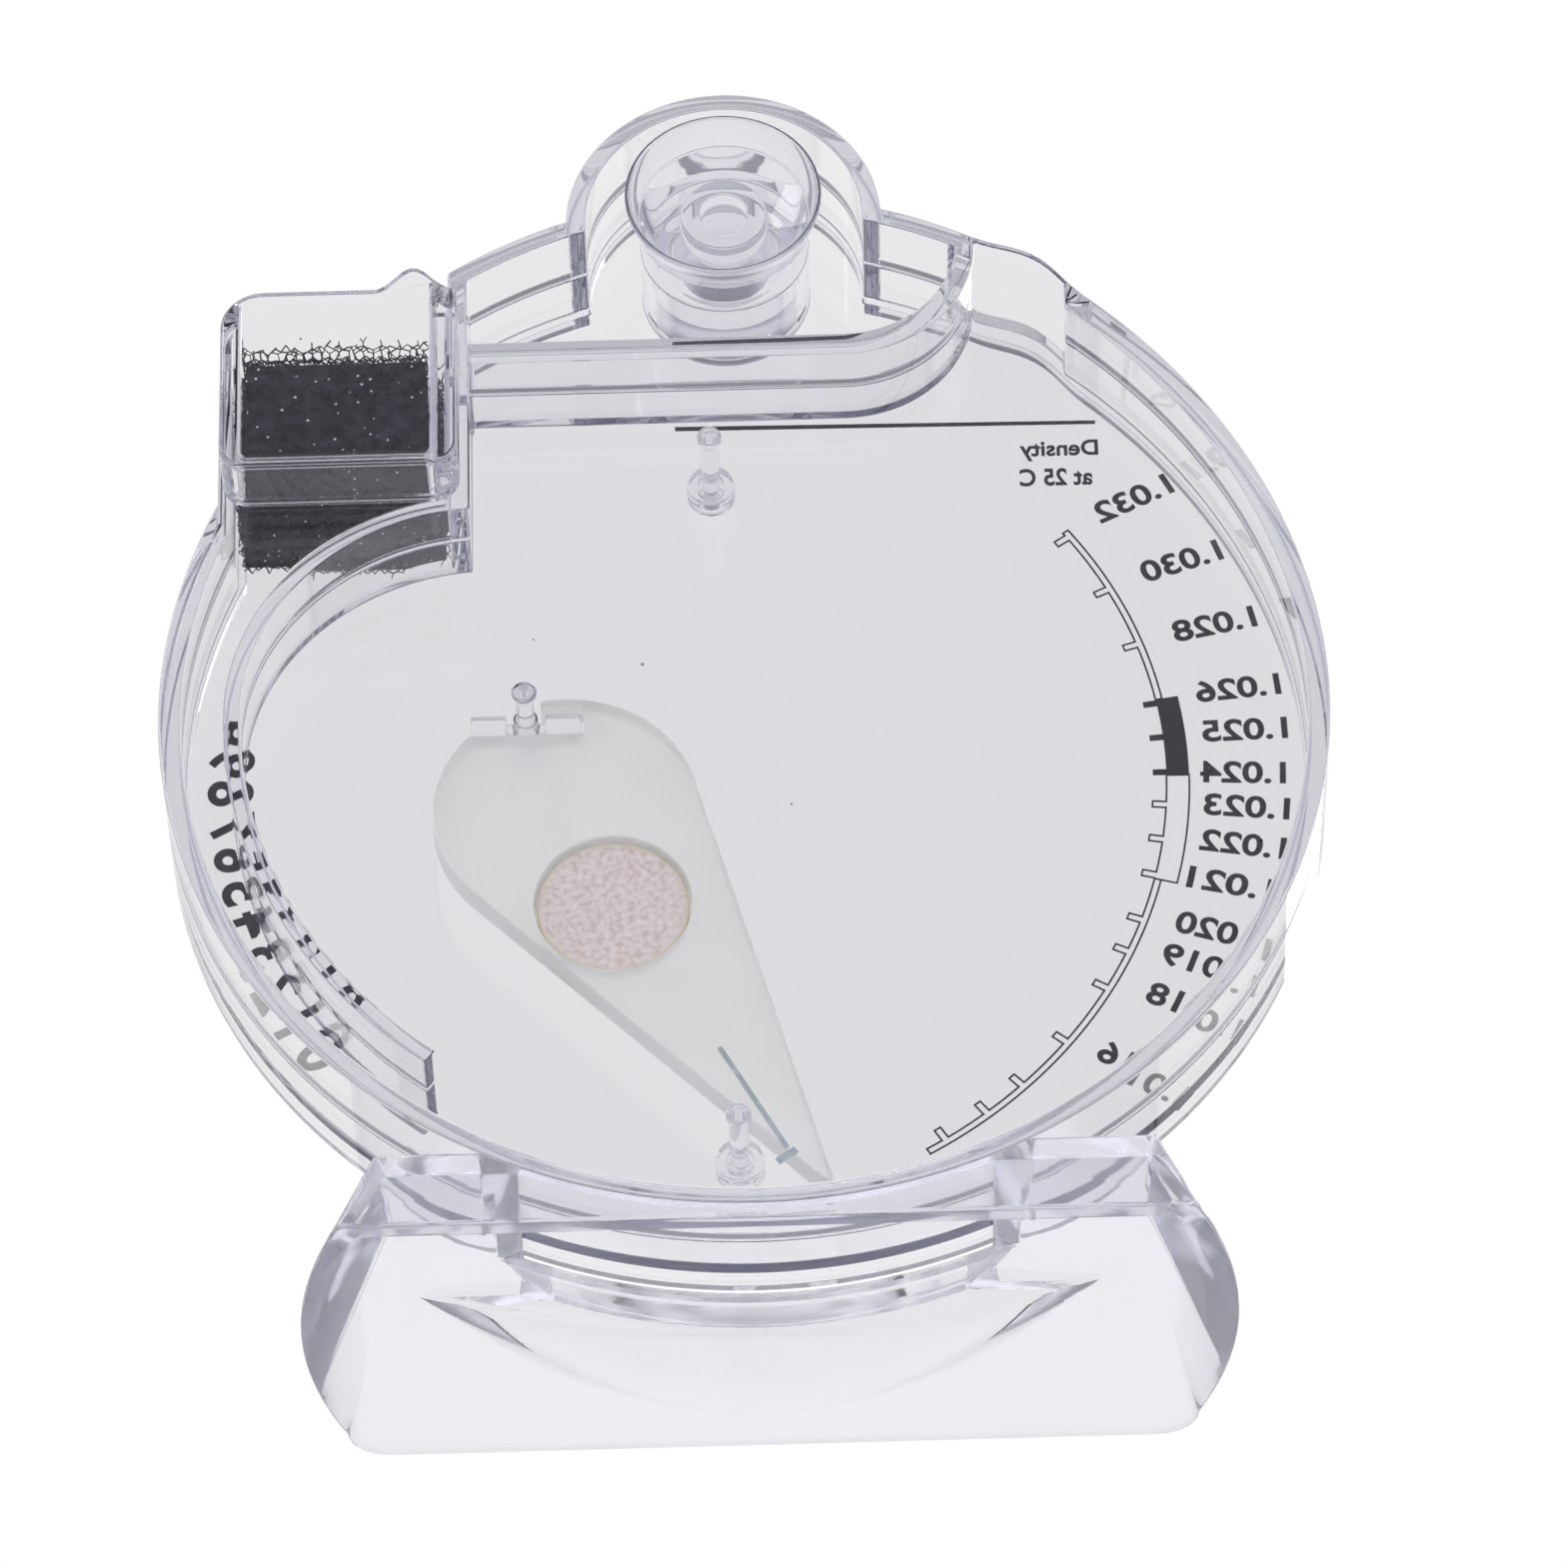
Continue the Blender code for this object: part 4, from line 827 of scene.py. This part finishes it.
def struts_mesh(name, starts, ends, radii, rng):
    """A closed three-sided bar for each strut: centre + r (a cos t + b sin t), with a and b across it."""
    along = ends - starts
    along /= np.linalg.norm(along, axis=1)[:, None]
    across = np.cross(along, rng.normal(size=along.shape))
    across /= np.linalg.norm(across, axis=1)[:, None]
    third = np.cross(along, across)
    turn = np.arange(3) * 2 * math.pi / 3
    ring = across[:, None] * np.cos(turn)[:, None] + third[:, None] * np.sin(turn)[:, None]
    ring = radii[:, None, None] * ring
    points = np.concatenate((starts[:, None] + ring, ends[:, None] + ring), axis=1)
    base = np.arange(len(starts))[:, None, None] * 6
    sides = base + np.array([(0, 1, 4, 3), (1, 2, 5, 4), (2, 0, 3, 5)])
    caps = base + np.array([(2, 1, 0), (3, 4, 5)])
    mesh = bpy.data.meshes.new(name)
    faces = sides.reshape(-1, 4).tolist() + caps.reshape(-1, 3).tolist()
    mesh.from_pydata(points.reshape(-1, 3), [], faces)
    return mesh_object(name, mesh)


def in_place(points):
    """Points (x, depth, z) from the outlines' middle, as places in the frame."""
    return np.column_stack((points[:, 0], BACK_Y - points[:, 1], MIDDLE_Z + points[:, 2]))


rng = np.random.default_rng(4)
points, pairs = kelvin_struts((front_room[0][0], back_room[1][0], FOAM_BOTTOM),
                              (front_room[0][1], front_room[1][1], FOAM_TOP + OPEN_OVER), FOAM_CELL, rng)
torn = rng.uniform(0, TORN, len(points))[:, None] * (points[:, 2:] > FOAM_TOP - TORN_FROM)
reach = foam_reach(points - (0, 0, 1) * torn)[pairs]
near_side = (reach < STRUT_DEPTH).any(axis=1)
near_top = (points[pairs][:, :, 2] > FOAM_TOP - OPEN_TOP).any(axis=1)
kept = (reach > 0).all(axis=1) & (near_side | near_top)
starts, ends = points[pairs[kept, 0]], points[pairs[kept, 1]]
foam = struts_mesh("foam", in_place(starts), in_place(ends),
                   STRUT * rng.uniform(*STRUT_SPREAD, len(starts)), rng)
print("foam struts:", len(starts))

# %% [markdown]
# ## Heart of the foam
# Light that enters the block is lost between its struts. So its heart is a plain dark block, a skin
# below the surface and lower at the top, where the photograph shows light between the strands.

# %% Heart of the foam
def below_skin(span):
    """A (low, high) span made shorter by the skin at both ends."""
    return span[0] + FOAM_SKIN, span[1] - FOAM_SKIN


heart_top = FOAM_TOP - 4 * FOAM_SKIN
core = bar(below_skin(front_room[0]), below_skin(front_room[1]), (FOAM_BOTTOM + 2 * FOAM_SKIN, heart_top))
carve(core, [bar(below_skin(back_room[0]), (back_room[1][0] + FOAM_SKIN, 2 * PLATE),
                 (back_room[2][0] + FOAM_SKIN, heart_top))], "UNION")
carve(core, [disc(ring_x, ring_z, ring_room + FOAM_SKIN, -2 * OVER, DIAL, 256)])
core.data.materials.append(foam_material)
foam.data.materials.append(foam_material)
with bpy.context.temp_override(active_object=foam, selected_editable_objects=[foam, core]):
    bpy.ops.object.join()
foam.name = "filter_foam_block"
print("foam block", len(foam.data.polygons), "faces")
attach(foam, "foam")
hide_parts("filter_foam")

# %% [markdown]
# ## Printed scale
# The scale is pad printed in black on the outside of the dial plate, for a reader in front, so from
# behind it reads backwards through the clear case. Each mark is a thin layer of ink let a little
# into the plate, so that it shows from both sides. The scale is bent, because the arm turns about
# a pivot and not about the middle of the case. Its angles and places were read off the photograph.

# %% Marks of the scale
SCALE_X, SCALE_Z = 0.0099, -0.0008
BAND, WIDE_BAND, LINE_IN, TICK_IN, TICK = 0.0586, 0.06045, 0.05785, 0.0563, 0.0008
INK_UNDER, INK_OVER, OUTLINE, LETTER_WEIGHT = 0.00003, 0.00004, 0.00022, 0.025


def ink_slab(name, loops):
    """A layer of ink on the dial, let a little into it."""
    return slab(name, loops, DIAL - INK_UNDER, DIAL + INK_OVER)


def on_scale(radius, degrees):
    """Points round the scale's middle; the angle starts at -X and rises."""
    turn = np.radians(degrees)
    return np.column_stack((SCALE_X - radius * np.cos(turn), SCALE_Z + radius * np.sin(turn)))


def comb(outer, high, low, ticks):
    """A band from a high to a low angle, with a tooth for each tick on its inner side."""
    sweep = np.linspace(low, high, max(3, int(abs(high - low))))
    points = [on_scale(outer, sweep)]
    half = math.degrees(TICK / 2 / TICK_IN)
    edges = [high]
    for tick in ticks:
        top, bottom = min(tick + half, high), max(tick - half, low)
        stretch = np.linspace(edges[-1], top, max(2, int(abs(edges[-1] - top))))
        if edges[-1] - top > 0.01:
            points.append(on_scale(LINE_IN, stretch))
        points.append(on_scale(np.array([TICK_IN, TICK_IN]), [top, bottom]))
        edges.append(bottom)
    if edges[-1] - low > 0.01:
        stretch = np.linspace(edges[-1], low, max(2, int(abs(edges[-1] - low))))
        points.append(on_scale(LINE_IN, stretch))
    return np.vstack(points)


def offset(points, distance):
    """A closed outline moved to its left by a distance, corners kept square."""
    side = np.roll(points, -1, axis=0) - points
    side /= np.hypot(*side.T)[:, None]
    left = np.column_stack((-side[:, 1], side[:, 0]))
    middle = left + np.roll(left, 1, axis=0)
    middle /= np.hypot(*middle.T)[:, None]
    return points + middle * (distance / np.maximum(0.5, np.sum(middle * left, axis=1)))[:, None]


def ink_marks(name, parts, body, colour):
    """Join printed marks into one piece."""
    for part in parts:
        part.data.materials.clear()
        part.data.materials.append(colour)
    with bpy.context.temp_override(active_object=parts[0], selected_editable_objects=parts):
        bpy.ops.object.join()
    parts[0].name = name
    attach(parts[0], body)
    print(name, len(parts[0].data.vertices), "points")
    return parts[0]


def lettering(words, x, z, heading, height, width=None):
    """Words fitted to a height and a width, centred on a place, with their line turned to a heading."""
    curve = bpy.data.curves.new("lettering", "FONT")
    curve.body = words
    curve.offset = LETTER_WEIGHT
    curve.extrude = 0.5
    flat = mesh_object("lettering", curve)
    bpy.context.view_layer.update()
    mesh = bpy.data.meshes.new_from_object(flat.evaluated_get(bpy.context.evaluated_depsgraph_get()))
    bpy.data.objects.remove(flat)
    points = np.empty(len(mesh.vertices) * 3)
    mesh.vertices.foreach_get("co", points)
    points = points.reshape(-1, 3)
    low, high = points.min(axis=0), points.max(axis=0)
    grow = height / (high[1] - low[1])
    stretch = width / (high[0] - low[0]) if width else grow
    points = (points - (low + high) / 2) * (stretch, grow, INK_UNDER + INK_OVER)
    mesh.vertices.foreach_set("co", points.ravel())
    middle = BACK_Y - DIAL - (INK_OVER - INK_UNDER) / 2
    mesh.transform(Matrix.Translation((x, middle, MIDDLE_Z + z)) @ Matrix.Rotation(-heading, 4, "Y")
                   @ Matrix.Rotation(math.pi / 2, 4, "X"))
    weld(mesh)
    return mesh_object("lettering", mesh)


# %% [markdown]
# ## The whole scale
# Ticks stand at angles round the scale's middle, and numerals beside them point at the pivot. The
# good range for a tank is the one filled band. A fill line, a caption and plain digits complete it.

# %% Printed scale
TICKS = {"1.032": 34.2, "1.030": 25.6, "1.028": 17.3, "1.026": 8.9, "1.025": 4.2, "1.024": -0.6,
         "1.023": -5.0, "1.022": -9.7, "1.021": -14.6, "1.020": -20.8, "1.019": -25.3,
         "1.018": -30.7, "1.017": -39.1, "1.016": -46.6, "1.015": -51.9, "1.014": -57.6}
NUMERALS = {"1.032": (-0.0458, 0.0371), "1.030": (-0.0510, 0.0280), "1.028": (-0.0544, 0.0190),
            "1.026": (-0.0567, 0.0100), "1.025": (-0.0572, 0.0042), "1.024": (-0.0567, -0.0017),
            "1.023": (-0.0569, -0.0064), "1.022": (-0.0562, -0.0115), "1.021": (-0.0545, -0.0168),
            "1.020": (-0.0528, -0.0231), "1.019": (-0.0510, -0.0276), "1.018": (-0.0490, -0.0330),
            "1.016": (-0.0430, -0.0410)}
NUMERAL_HEIGHT, NUMERAL_WIDTH = 0.0030, 0.0098
BANDS = ((BAND, 35.0, 9.4, False), (WIDE_BAND, 9.4, -1.0, True), (WIDE_BAND, -1.0, -15.1, False),
         (BAND, -15.1, -60.0, False))
FILL_LINE = ((-0.0419, 0.0480), (0.0074, 0.0486), (0.0074, 0.0492), (-0.0419, 0.0485))
CAPTION = (("Density", -0.0375, 0.0443, 0, 0.0029, 0.0092), ("at 25 C", -0.0370, 0.0405, 0, 0.0025, 0.0085))
DIGITS_RADIUS, DIGIT_HEIGHT, FIRST_DIGIT, DIGIT_STEP = 0.0590, 0.0053, -36, 4.4

marks = []
for outer, high, low, solid in BANDS:
    ticks = [angle for angle in TICKS.values() if low < angle < high]
    shape = comb(outer, high, low, ticks)
    loops = [shape] if solid else [offset(shape, OUTLINE / 2), offset(shape, -OUTLINE / 2)]
    marks.append(ink_slab("band", loops))
for words, (x, z) in NUMERALS.items():
    heading = math.atan2(PIVOT_Z - z, PIVOT_X - x)
    marks.append(lettering(words, x, z, heading, NUMERAL_HEIGHT, NUMERAL_WIDTH))
marks.append(ink_slab("fill_line", [np.array(FILL_LINE)]))
marks += [lettering(*line) for line in CAPTION]
for place, number in enumerate("0123456789"):
    heading = math.radians(FIRST_DIGIT + DIGIT_STEP * place)
    x, z = DIGITS_RADIUS * math.cos(heading), DIGITS_RADIUS * math.sin(heading)
    marks.append(lettering(number, x, z, heading + math.pi / 2, DIGIT_HEIGHT))
scale_print = ink_marks("scale_print", marks, "case", ink)


# %% [markdown]
# ## Pointer
# The arm is read by a grey line along its tip, with a short cross stroke, printed on the side that
# faces the back plate.

# %% Pointer
def stroke(name, start, end, width):
    """A straight painted line between two places on the near side of the arm."""
    start, end = np.array(start), np.array(end)
    side = np.array((start[1] - end[1], end[0] - start[0])) / math.dist(start, end) * width / 2
    loop = np.array([start - side, end - side, end + side, start + side])
    return slab(name, [loop], ARM_NEAR - INK_OVER, ARM_NEAR + INK_UNDER)


pointer = [stroke("line", (0.0037, -0.0424), (-0.0035, -0.0556), 0.0006),
           stroke("cross", (-0.0045, -0.0559), (-0.0024, -0.0574), 0.0009)]
ink_marks("pointer_line", pointer, "arm", pointer_ink)

# %% [markdown]
# ## Size
# The box round the dressed model is measured and printed; it should keep the size of the imported one.

# %% Finish
low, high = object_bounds()
print("dressed box in mm:", [round(1000 * v) for v in high - low])
